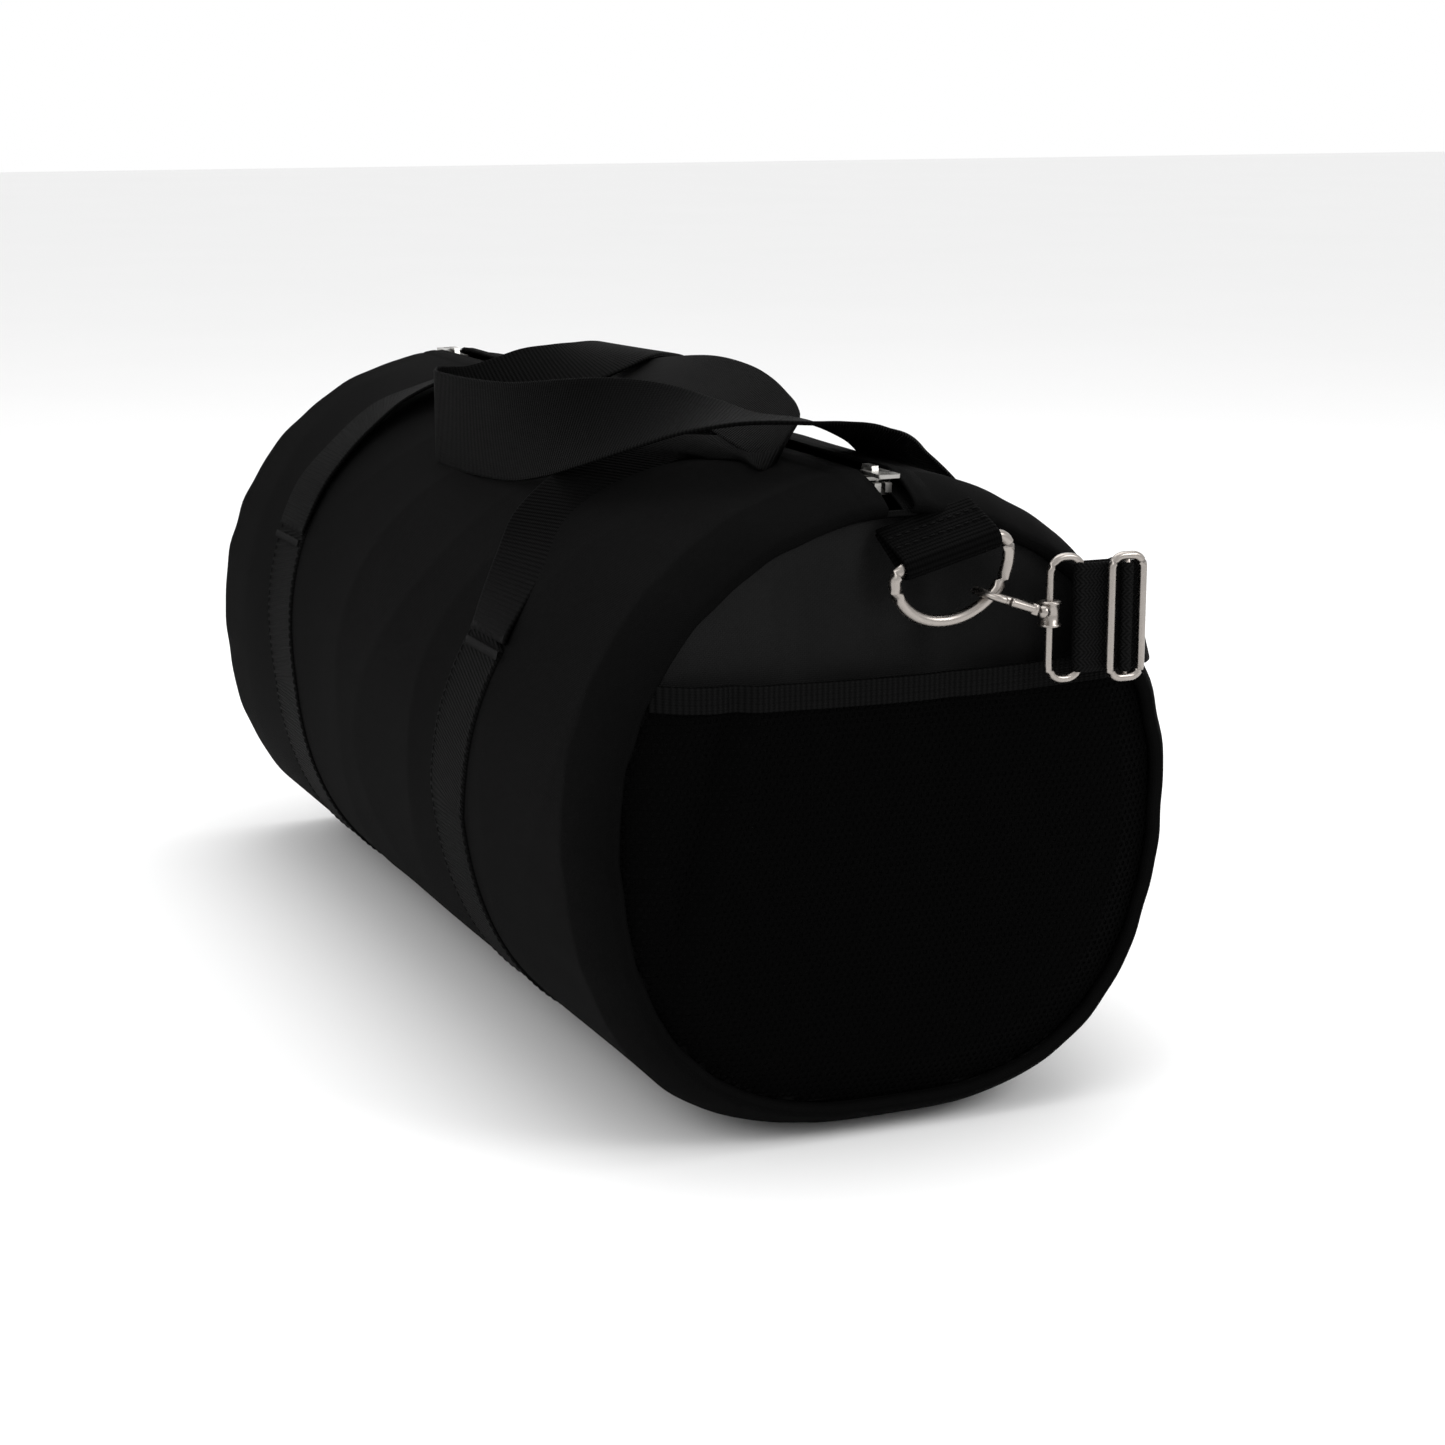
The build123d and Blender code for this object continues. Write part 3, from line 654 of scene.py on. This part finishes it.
def ribbon(route, width, thickness, spacing=3.0, keep_width=True):
    """Webbing with rounded edges through stations of (point, across).

    Where across isn't square to the line, keep_width makes up for the width lost.
    """
    p, a = sample([s[0] for s in route], [s[1] for s in route], spacing)
    a = unit(a)
    along = unit(np.vstack([p[1:], p[-1:]]) - np.vstack([p[:1], p[:-1]]))
    square = along - a * np.sum(along * a, axis=1, keepdims=True)
    slant = np.linalg.norm(square, axis=1, keepdims=True)
    normal = unit(np.cross(a, square))
    reach = width / 2 / (np.clip(slant, 0.45, 1) if keep_width else np.ones_like(slant))
    u = COLUMNS[None, :, None]
    half_t = (thickness / 2 * (0.3 + 0.7 * EDGE))[None, :, None]
    middle = p[:, None] + a[:, None] * u * reach[:, None]
    top = middle + normal[:, None] * half_t
    low = middle - normal[:, None] * half_t
    ring = np.concatenate([top, low[:, ::-1]], 1)
    n, c = ring.shape[:2]
    s = np.concatenate([[0], np.cumsum(np.linalg.norm(np.diff(p, axis=0), axis=1))])
    across = np.concatenate([COLUMNS, COLUMNS[::-1]]) * width / 2
    uvs = np.stack(np.meshgrid(s, across, indexing="ij")[::-1], -1) * MM
    faces = grid_faces(n, c, wrap=True)
    faces += [tuple(range(c))[::-1], tuple(range((n - 1) * c, n * c))]
    return ring.reshape(-1, 3), faces, uvs.reshape(-1, 2), middle, normal


# the two handles' stations: a point of the middle line, and the direction across the webbing
FRONT = [
    ((-144, -105.0, 163), (1, 0, 0)),
    ((-144, -103.0, 168), (1, 0, 0)),
    ((-144, -95.5, 182.5), (1, 0, 0)),
    ((-143, -83.8, 196.5), (1, -0.06, 0)),
    ((-139.5, -67.5, 212.2), (0.95, -0.25, -0.12)),
    ((-131.5, -51.5, 222.8), (0.9, -0.38, -0.02)),
    ((-120, -37.5, 230), (0.95, -0.2, 0.1)),
    ((-104, -21, 234.5), (0.9, 0.3, 0.15)),
    ((-86, -6, 236.5), (0.7, 0.65, 0.2)),
    ((-66, 0, 234.5), (0.45, 0.85, 0.3)),
    ((-38, 2, 235.5), (0.15, 0.92, 0.36)),
    ((-8, 3, 238.5), (0.03, 0.9, 0.42)),
    ((48, 2.5, 243), (-0.03, 0.87, 0.48)),
    ((90, 0.5, 243.8), (-0.12, 0.88, 0.44)),
    ((121, -2.5, 242.5), (-0.27, 0.87, 0.4)),
    ((147, -5.5, 239.7), (-0.42, 0.82, 0.38)),
    ((166, -8, 237.5), (-0.54, 0.74, 0.38)),
    ((180, -10.8, 235), (-0.64, 0.66, 0.38)),
    ((186.5, -13.5, 233.2), (-0.73, 0.58, 0.35)),
    ((182, -17.5, 231.5), (-0.84, 0.5, 0.22)),
    ((172, -20.5, 231), (-0.93, 0.32, 0.14)),
    ((157.5, -24.5, 230.5), (-0.99, 0.02, 0.13)),
    ((142, -32.5, 229), (-0.97, -0.2, 0.13)),
    ((129.5, -43, 226.5), (-0.88, -0.47, 0.05)),
    ((122.3, -59, 217.5), (-0.86, -0.5, 0.03)),
    ((121.5, -75.5, 204.5), (-0.88, -0.46, 0.01)),
    ((127, -89.5, 190), (-0.97, -0.2, 0)),
    ((130, -103.0, 168), (-1, 0, 0)),
    ((130, -105.0, 163), (-1, 0, 0)),
]
REAR = [
    ((130, 105.0, 163), (-1, 0, 0)),
    ((130, 103.0, 168), (-1, 0, 0)),
    ((131.5, 95.5, 184), (-1, 0, 0)),
    ((136, 82, 201.5), (-1, 0, -0.03)),
    ((145, 65, 214.5), (-0.98, 0.05, -0.1)),
    ((159, 47, 223), (-0.95, 0.15, -0.22)),
    ((178, 28, 231.5), (-0.91, 0.32, -0.26)),
    ((193, 8, 239.5), (-0.89, 0.4, -0.2)),
    ((200, -13, 244.5), (-0.9, 0.42, -0.09)),
    ((190, -28, 245), (-0.86, 0.5, -0.03)),
    ((170, -39, 244.5), (-0.78, 0.58, 0.18)),
    ((147, -49, 242), (-0.6, 0.6, 0.5)),
    ((122, -58, 238), (-0.38, 0.5, 0.78)),
    ((95, -65, 233), (-0.15, 0.32, 0.93)),
    ((60, -69.5, 227.8), (0, 0.14, 0.99)),
    ((20, -71.5, 225), (0, 0.05, 1)),
    ((-20, -72, 223.8), (0, 0, 1)),
    ((-33, -71.5, 223.8), (0, 0, 1)),
    ((-40, -68, 224), (-0.1, 0, 0.99)),
    ((-37, -61.5, 225.5), (-0.42, -0.05, 0.9)),
    ((-32, -52.5, 229.5), (-0.72, -0.08, 0.68)),
    ((-27.5, -42.4, 235), (-0.84, -0.06, 0.54)),
    ((-24.5, -31.2, 240), (-0.88, -0.04, 0.47)),
    ((-22.5, -17.5, 243.5), (-0.93, -0.08, 0.36)),
    ((-27, -2, 246.3), (-0.95, -0.2, 0.2)),
    ((-38, 13, 247.8), (-0.95, -0.3, 0.07)),
    ((-56, 29, 245), (-0.92, -0.38, 0.03)),
    ((-78, 44, 238.5), (-0.92, -0.38, 0)),
    ((-99, 58, 227), (-0.94, -0.33, 0)),
    ((-118, 71.5, 214), (-0.97, -0.22, 0)),
    ((-134, 84, 199.5), (-1, -0.05, 0)),
    ((-141, 95, 184.5), (-1, 0, 0)),
    ((-144, 103.0, 168), (-1, 0, 0)),
    ((-144, 105.0, 163), (-1, 0, 0)),
]
for name, route in (("front", FRONT), ("rear", REAR)):
    v, f, uvs, _, _ = ribbon(route, WEB, WEB_T, 3.0, keep_width=name == "rear")
    make(f"handle_{name}_web", v, f, webbing, f"handle_{name}", [f"handle_{name}"],
         uvs)

# bartacks: dense zigzags of thread across the webbing where the handles leave it
parts = []
for side in RUNS:
    for sign in (-1, 1):
        x0 = run_middle(TACK_Z, side)
        q = distance_down(TACK_Z - 1.5)
        for row in range(2):
            xs_t = np.linspace(x0 - 17.5, x0 + 17.5, 64)
            s_t = sign * (q + row * 6.5 + np.where(np.arange(64) % 2, 1.3, -1.3))
            line = barrel(xs_t, s_t, WEB_T + 1.15)
            parts.append(tube_along(line, 0.42, 6))
v, f = merge(parts)
make("bartacks", v, f, thread_material("tack_thread", 0.012), "root", ())

# ---- zip ---------------------------------------------------------------------------------------

TEETH_END = box_mm("zip_teeth_front")[1][0]
PITCH = 1.7  # from tooth to tooth
COIL_Z = 226.3
TAPE_Z = 226.0
TAPE_DROP = 9.2  # how much lower the tapes lie at the end seams


def coil(sign):
    """One row of the coil: a rounded loop of nylon for each tooth."""
    parts = []
    count = int(2 * TEETH_END / PITCH)
    turn = np.linspace(0, 2 * math.pi, 9)
    for k in range(count):
        x = -TEETH_END + (k + 0.5 + 0.25 * sign) * PITCH
        y = sign * (1.45 + 1.25 * np.cos(turn))
        z = COIL_Z + 0.85 * np.sin(turn)
        xx = x + 0.22 * np.sin(turn / 2) * PITCH
        parts.append(tube_along(np.stack([xx, y, z], 1), 0.42, 5))
    return merge(parts)


for name, sign in (("front", -1), ("rear", 1)):
    v, f = coil(sign)
    make(f"zip_coil_{name}", v, f, nylon, "root", [f"zip_teeth_{name}"])
    xs_t = np.concatenate([np.linspace(-(HALF - 2.6), -(HALF - SHOULDER), 10),
                           np.linspace(-(HALF - SHOULDER), HALF - SHOULDER, 40)[1:-1],
                           np.linspace(HALF - SHOULDER, HALF - 2.6, 10)])
    tape_z = TAPE_Z - TAPE_DROP * shoulder_drop(xs_t)
    y_t = sign * np.array([3.0, 3.2, 6.0, 10.0, 15.5, 16.0])
    z_off = np.array([-0.4, 0.0, 0.05, 0.0, -0.2, -0.6])
    verts = np.array([[(x, y, z + o) for y, o in zip(y_t, z_off)] for x, z in zip(xs_t, tape_z)])
    uvs = np.array([[(y * MM, x * MM) for y in y_t] for x in xs_t])
    tape = make(f"zip_tape_{name}_cloth", verts.reshape(-1, 3), grid_faces(len(xs_t), 6), tape_web,
                "root", [f"zip_tape_{name}"], uvs.reshape(-1, 2))
    thicken(tape, 0.6, 0.0)

# stitches along the flaps
parts = []
for row in FLAP_ROWS:
    for sign in (-1, 1):
        x = np.linspace(-(HALF - 6), HALF - 6, 300)
        parts += stitch_parts(barrel(x, np.full_like(x, sign * row), 0.35), 3.0, 2.4, 0.42)
v, f = merge(parts)
make("flap_stitches", v, f, thread, "root", ())

# ---- mesh pocket -------------------------------------------------------------------------------

POCKET_X, _, POCKET_TOP = box_mm("mesh_pocket")[1]
TRIM_LOW, TRIM_HIGH = box_mm("pocket_trim")
END_K = END_SHRINK * 0.972  # the pocket lies just inside the end seam
MESH_PITCH = 2.7


def spread(y, z):
    """0 in the middle of the end and 1 on its seam."""
    s = np.linspace(0, GIRTH, 400)
    sy, sz, _, _ = section(s)
    angles = np.arctan2(sy * END_K, (sz - MID) * END_K)
    radii = np.hypot(sy, sz - MID) * END_K
    return np.hypot(y, z - MID) / np.interp(np.arctan2(np.abs(y), z - MID), angles, radii)


def pocket_x(y, z):
    """How far out the mesh hangs, with its gathers."""
    rho = spread(y, z)
    base = POCKET_X - 1.0 - (POCKET_X - HALF + 2.2) * np.clip((rho - 0.84) / 0.16, 0, 1) ** 1.6
    free = np.clip((1 - rho) / 0.12, 0, 1)
    slack = np.clip((POCKET_TOP - z) / 130, 0, 1)
    fan = (y + 62) + 0.24 * (POCKET_TOP - z)
    gather = -2.0 * np.exp(-(fan / 4.5) ** 2) + 1.0 * np.exp(-((fan - 9) / 6) ** 2)
    other = (y - 18) - 0.10 * (POCKET_TOP - z)
    gather = gather - 1.0 * np.exp(-(other / 6) ** 2) * (1 - slack)
    soft = 0.7 * np.sin(y / 17 + z / 29) * slack
    return base + free * (gather + soft)


def hex_mesh():
    """Open hexagonal mesh over the lower end, each cell a ring of thread round its hole."""
    radius = MESH_PITCH / math.sqrt(3)
    step_z = radius * 1.5
    verts, faces, index = [], [], {}

    def vertex(y, z):
        key = (round(y * 50), round(z * 50))
        if key not in index:
            index[key] = len(verts)
            verts.append((y, z))
        return index[key]

    turn = np.radians(np.arange(6) * 60 + 30)
    row = 0
    z = 5.0
    while z < POCKET_TOP + 4:
        shift = MESH_PITCH / 2 if row % 2 else 0.0
        for y in np.arange(-104 + shift, 104, MESH_PITCH):
            if spread(np.array(y), np.array(z)) < 0.985:
                outer = [vertex(y + radius * math.cos(a), z + radius * math.sin(a)) for a in turn]
                inner = [vertex(y + radius * 0.60 * math.cos(a), z + radius * 0.60 * math.sin(a))
                         for a in turn]
                for k in range(6):
                    m = (k + 1) % 6
                    faces.append((outer[k], outer[m], inner[m], inner[k]))
        row += 1
        z += step_z
    flat = np.array(verts)
    x = pocket_x(flat[:, 0], flat[:, 1])
    return np.column_stack([x, flat]), faces, flat * MM


v, f, uvs = hex_mesh()
net = make("pocket_net", v, f, mesh_cord, "root", ["mesh_pocket"], uvs)
thicken(net, 0.45, 0.0)


def trim_band():
    """Ribbed binding folded over the mouth of the pocket, following the panel's curve."""
    low, high = TRIM_LOW[2], TRIM_HIGH[2]
    ends = 0.97 * TRIM_HIGH[1]
    y = np.linspace(-ends, ends, 120)
    drop = -3.0 * (1 - (y / ends) ** 2) + 2.0
    profile = [(0, 0.0), (0.15, 1.0), (0.5, 1.15), (1.2, 0.95), (2.6, 1.15), (3.3, 0.8), (4.4, 1.2),
               (5.4, 0.8), (6.6, 1.2), (7.6, 0.85), (8.6, 1.1), (9.0, 0.9), (9.1, 0.0)]
    verts, uvs = [], []
    for yy, dz in zip(y, drop):
        z_mid = (low + high) / 2 + dz
        x0 = pocket_x(np.array(yy), np.array(min(z_mid, POCKET_TOP)))
        swell = min(1.0, (1 - abs(yy) / ends) * 12)
        front = [(x0 + 0.2 + o * swell, yy, low + h + dz) for h, o in profile]
        back = [(x0 - 1.1, yy, high + dz), (x0 - 1.1, yy, low + dz)]
        verts.append(front + back)
        uvs.append([((h - 4.5) * MM, yy * MM) for h, _ in profile] + [(0.0045, yy * MM),
                                                                        (-0.0045, yy * MM)])
    ring = len(profile) + 2
    faces = grid_faces(len(y), ring, wrap=True)
    faces += [tuple(range(ring))[::-1], tuple(range((len(y) - 1) * ring, len(y) * ring))]
    return np.array(verts).reshape(-1, 3), faces, np.array(uvs).reshape(-1, 2)


v, f, uvs = trim_band()
make("pocket_mouth", v, f, trim_web, "root", ["pocket_trim"], uvs)

# ---- D-ring tabs -------------------------------------------------------------------------------

RING_BAR = np.array([267.0, 12.0, 207.0])  # middle of the ring's straight bar
RING_WIRE = 2.25  # radius of the bar, which the tab goes round
TILT = math.radians(15)  # the bar leans up towards the rear
RING_ALONG = np.array([0, math.cos(TILT), math.sin(TILT)])
RING_UP = np.array([0, -math.sin(TILT), math.cos(TILT)])


def tab_route(sign):
    """The tab's webbing, out of the seam, round the ring's bar and back under itself."""
    root = np.array([-15.2, 10.2])
    out = unit(-root)
    normal = np.array([-out[1], out[0]])
    grip = RING_WIRE + 0.3 + WEB_T / 2
    flat = [root + normal * 1.2, (root + normal * 1.4) * 0.5 + normal * grip * 0.5]
    for angle in np.radians(np.linspace(90, -90, 9)):
        flat.append(grip * (math.cos(angle) * out + math.sin(angle) * normal))
    flat += [(root - normal * 1.0) * 0.5 - normal * grip * 0.45, root - normal * 0.6]
    route = []
    for a, b in flat:
        p = RING_BAR + np.array([a, 0, 0]) + RING_UP * b
        route.append(((sign * p[0], p[1], p[2]), tuple(RING_ALONG)))
    return route


parts = []
for side, sign in (("right", 1), ("left", -1)):
    v, f, uvs, middle, normal = ribbon(tab_route(sign), WEB - 1.5, WEB_T, 1.2)
    make(f"ring_tab_{side}", v, f, webbing, "root", [f"d_ring_tab_{side}"], uvs)
    for share in (0.12, 0.2):
        k = int(len(middle) * share)
        flip = 1 if normal[k][0] > 0 or normal[k][2] > 0 else -1
        line = middle[k] + normal[k] * (WEB_T / 2 + 0.1) * flip
        parts += stitch_parts(line[1:-1], 3.0, 2.3, 0.35)
v, f = merge(parts)
make("tab_stitches", v, f, thread, "root", ())

# ---- shoulder strap ----------------------------------------------------------------------------

EYE_LOW, EYE_HIGH = box_mm("strap_eye_right")
HOOK_X = float((EYE_LOW[0] + EYE_HIGH[0]) / 2)
EYE_Z = float((EYE_LOW[2] + EYE_HIGH[2]) / 2)
LAYER = 2.4  # each layer of the strap lies this far from the eye's middle
EYE_FAR = 64.0  # y of the eye's bar that the strap goes round
UP = (0, 0, 1)
turn_in = [((HOOK_X + LAYER * math.sin(a), EYE_FAR + LAYER * math.cos(a), EYE_Z), UP)
           for a in np.radians((90, 130, 170, 210, 250, 270))]
turn_out = [((-p[0], p[1], p[2]), UP) for p, _ in turn_in]
outer, inner = HOOK_X + LAYER, HOOK_X - LAYER
STRAP = [
    ((outer, 87, EYE_Z), UP),
    ((outer, 72, EYE_Z), UP),
    *turn_in,
    ((inner, 72, EYE_Z), UP),
    ((inner, 82.5, EYE_Z), UP),
    ((259.5, 89, 180.6), (0.03, -0.25, 1)),
    ((250, 94, 179.6), (0.08, -0.36, 1)),
    ((236, 99, 176), (0.12, -0.45, 1)),
    ((214, 107, 168), (0.18, -0.5, 1)),
    ((180, 123, 149), (0.3, -0.5, 1)),
    ((130, 130, 122), (0.4, -0.3, 1)),
    ((75, 134, 90), (0.4, -0.1, 1)),
    ((25, 138, 62), (0.4, 0, 1)),
    ((-25, 145, 38), (0.3, 0, 1)),
    ((-70, 158, 22), (0.15, 0.2, 1)),
    ((-115, 174, 10.5), (0, 0.85, 0.5)),
    ((-160, 184, 1.6), (0, 1, 0.06)),
    ((-215, 187, 0.9), (0, 1, 0)),
    ((-262, 183, 4.5), (0, 1, 0)),
    ((-288, 175, 24), (0, 1, 0.1)),
    ((-298, 163, 57), (0, 0.96, 0.28)),
    ((-297, 148, 95), (0, 0.9, 0.42)),
    ((-289, 130, 130), (0, 0.8, 0.58)),
    ((-279, 111, 158), (0, 0.6, 0.8)),
    ((-271, 92, 174), (0, 0.3, 0.95)),
    ((-outer, 78, 180.6), UP),
    ((-outer, 70, EYE_Z), UP),
    *turn_out,
    ((-inner, 72, EYE_Z), UP),
    ((-inner, 90, EYE_Z), UP),
]
v, f, uvs, _, _ = ribbon(STRAP, WEB, 1.4, 3.0)
v[:, 2] = np.maximum(v[:, 2], 0.05)
make("strap_web", v, f, strap_web, "root", ["shoulder_strap"], uvs)

FOLD_LOW, FOLD_HIGH = box_mm("strap_end_fold")
centre = (FOLD_LOW + FOLD_HIGH) / 2
fold_r = (FOLD_HIGH[1] - FOLD_LOW[1]) / 2 - 0.45
fold_route = [((centre[0] + fold_r * math.cos(a), centre[1] + fold_r * math.sin(a), centre[2]), UP)
              for a in np.radians(np.arange(200, 521, 32))]
v, f, uvs, _, _ = ribbon(fold_route, WEB, 0.9, 1.0)
make("adjuster_fold", v, f, strap_web, "strap_adjuster", ["strap_end_fold"], uvs)

# ---- wire hardware -----------------------------------------------------------------------------

ADJUST_LOW, ADJUST_HIGH = box_mm("strap_adjuster")


def wire_frame(low, high, x, radius, corner):
    """An upright rounded rectangle of bent wire at x, inside the box low to high."""
    y0, y1 = low[1] + radius, high[1] - radius
    z0, z1 = low[2] + radius, high[2] - radius
    line = []
    for cy, cz, start in ((y1, z1, 0), (y0, z1, 90), (y0, z0, 180), (y1, z0, 270)):
        py = cy - corner if cy == y1 else cy + corner
        pz = cz - corner if cz == z1 else cz + corner
        for a in np.radians(np.linspace(start, start + 90, 9)):
            line.append((x, py + corner * math.cos(a), pz + corner * math.sin(a)))
    return tube_along(line, radius, 14, closed=True)


def smooth_line(points):
    return sample(points, np.zeros((len(points), 3)), 0.5)[0]


RISE = math.radians(19)  # the hook points this far up towards the ring
HOOK_PIN = (51.5, 183.0)  # y and z where the hook turns on the eye


def hook_point(side_x, along, down=0.0):
    """A point by the hook's own measures: side_x away from the bag, along towards the ring."""
    return (HOOK_X + side_x, HOOK_PIN[0] - along * math.cos(RISE) - down * math.sin(RISE),
            HOOK_PIN[1] + along * math.sin(RISE) - down * math.cos(RISE))


bow = smooth_line([hook_point(*p) for p in (
    (0.5, 2.5), (-2.5, 4.6), (-6.8, 7.4), (-8.3, 11), (-8.5, 16), (-8.4, 21), (-7.2, 25.5),
    (-3.6, 28.0), (1.2, 28.4), (5.2, 27.2), (7.6, 24.6), (8.0, 22.4))])
taper = np.interp(np.linspace(0, 1, len(bow)), [0, 0.12, 0.85, 1], [2.5, 1.8, 1.35, 1.3])
arm = smooth_line([hook_point(*p) for p in ((0.5, 2.5), (3.4, 4.2), (6.4, 6.0), (8.0, 7.6))])
sleeve_z = HOOK_PIN[1] + np.array([-4.6, -4.3, -3.6, -3.3, 0, 3.3, 3.6, 4.3, 4.6])
sleeve_r = np.array([2.4, 3.9, 4.1, 3.5, 3.4, 3.5, 4.1, 3.9, 2.4])
hook_parts = [
    tube_along(bow, taper, 14),
    tube_along(arm, np.linspace(2.6, 2.0, len(arm)), 12),
    tube_along([(HOOK_X, HOOK_PIN[0], z) for z in sleeve_z], sleeve_r, 20),
]
gate_parts = [
    tube_along(smooth_line([hook_point(*p) for p in ((8.5, 11.2), (8.6, 15), (8.5, 20.4))]),
               1.5, 12),
    tube_along([hook_point(8.6, 11.0, d) for d in (-1.9, -1.6, 1.6, 1.9)],
               np.array([1.1, 1.5, 1.5, 1.1]), 12),
]
eye_parts = [wire_frame(EYE_LOW, EYE_HIGH, HOOK_X, 1.4, 5.6)]


def both_sides(name, parts, node):
    """A nickel piece on the right end and its mirror image on the left."""
    v, f = merge(parts)
    for side in ("right", "left"):
        flip = np.array([1 if side == "right" else -1, 1, 1])
        faces = f if side == "right" else [face[::-1] for face in f]
        make(f"{name}_{side}", v * flip, faces, nickel, f"{node}_{side}", [f"{node}_{side}"])


both_sides("hook_bow", hook_parts, "snap_hook")
both_sides("hook_gate_bar", gate_parts, "hook_gate")
both_sides("eye_wire", eye_parts, "strap_eye")

ADJUST_WIRE = 1.5
adjust_x = float((ADJUST_LOW[0] + ADJUST_HIGH[0]) / 2)
adjust_y = float((ADJUST_LOW[1] + ADJUST_HIGH[1]) / 2)
bar_z = np.linspace(ADJUST_LOW[2] + ADJUST_WIRE, ADJUST_HIGH[2] - ADJUST_WIRE, 9)
v, f = merge([wire_frame(ADJUST_LOW, ADJUST_HIGH, adjust_x, ADJUST_WIRE, 4.2),
              tube_along([(adjust_x, adjust_y, z) for z in bar_z], 1.0, 12)])
make("adjuster_wire", v, f, nickel, "strap_adjuster", ["strap_adjuster"])

# the D-shaped rings: a bar inside the tab's loop and a bow hanging from it
RING_HALF = 21.9  # half the length of the bar
RING_CORNER = 5.0
RING_BOW = 19.4  # how far the bow hangs below the corners
hang = np.array([-0.17, 0, -1.0])
RING_DOWN = unit(hang - RING_ALONG * (hang @ RING_ALONG))
line = []
for a in np.linspace(0, math.pi, 33):  # the bow
    line.append((RING_HALF * math.cos(a), RING_CORNER + RING_BOW * math.sin(a)))
for a in np.linspace(math.pi, 1.5 * math.pi, 8)[1:]:  # the rounded corners of the bar
    line.append((-RING_HALF + RING_CORNER + RING_CORNER * math.cos(a),
                 RING_CORNER + RING_CORNER * math.sin(a)))
for t in np.linspace(-RING_HALF + RING_CORNER + 1, RING_HALF - RING_CORNER - 1, 15):
    line.append((t, 0.0))
for a in np.linspace(1.5 * math.pi, 2 * math.pi, 8)[:-1]:
    line.append((RING_HALF - RING_CORNER + RING_CORNER * math.cos(a),
                 RING_CORNER + RING_CORNER * math.sin(a)))
wire = [RING_BAR + RING_ALONG * a + RING_DOWN * d for a, d in line]
both_sides("ring_bow", [tube_along(wire, 2.1, 16, closed=True)], "d_ring")

# the zip's metal parts keep their CAD shape
for node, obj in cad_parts.items():
    if node.startswith(("zip_slider", "zip_pull", "zip_stops")):
        obj.data.materials.clear()
        obj.data.materials.append(zip_nickel)

# ---- stage, light and camera -------------------------------------------------------------------

REACH = 9  # metres
floor_mesh = bpy.data.meshes.new("floor")
floor_mesh.from_pydata([(-REACH, -REACH, 0), (REACH, -REACH, 0), (REACH, REACH, 0),
                        (-REACH, REACH, 0)], [], [(0, 1, 2, 3)])
floor = bpy.data.objects.new("floor", floor_mesh)
bpy.context.scene.collection.objects.link(floor)
n = Nodes("floor")
n.shader.inputs["Roughness"].default_value = 0.9
n.shader.inputs["Specular IOR Level"].default_value = 0.1
floor_mesh.materials.append(n.finish(n.ramp(n.noise(n.place(), 3.0), grey(0.86), grey(0.88))))

world = bpy.data.worlds.new("studio")
world.use_nodes = True
world.node_tree.nodes["Background"].inputs["Color"].default_value = (1, 1, 1, 1)
world.node_tree.nodes["Background"].inputs["Strength"].default_value = 1.0
bpy.context.scene.world = world
bpy.context.scene.view_settings.view_transform = "Standard"


def softbox(name, at, target, size, power):
    """A rectangular light, in metres and watts."""
    light = bpy.data.lights.new(name, "AREA")
    light.shape = "RECTANGLE"
    light.size, light.size_y = size
    light.energy = power
    obj = bpy.data.objects.new(name, light)
    obj.location = at
    obj.rotation_euler = (Vector(target) - Vector(at)).to_track_quat("-Z", "Y").to_euler()
    bpy.context.scene.collection.objects.link(obj)


softbox("top", (-0.2, 0.2, 1.6), (0, 0, 0.1), (1.6, 1.2), 14)
softbox("key", (0.9, -1.5, 1.3), (0, 0, 0.12), (1.2, 0.9), 8)
softbox("end", (1.3, 0.9, 1.1), (0.2, 0, 0.15), (0.7, 0.7), 9)

camera_data = bpy.data.cameras.new("camera")
camera_data.sensor_width = 36
camera_data.lens = 73.97
camera_data.clip_end = 50
camera = bpy.data.objects.new("camera", camera_data)
camera.location = (1.1392, -0.4394, 0.3677)
aim = Vector((-0.0021, 0.0435, 0.0906))
camera.rotation_euler = (aim - camera.location).to_track_quat("-Z", "Y").to_euler()
bpy.context.scene.collection.objects.link(camera)
bpy.context.scene.camera = camera
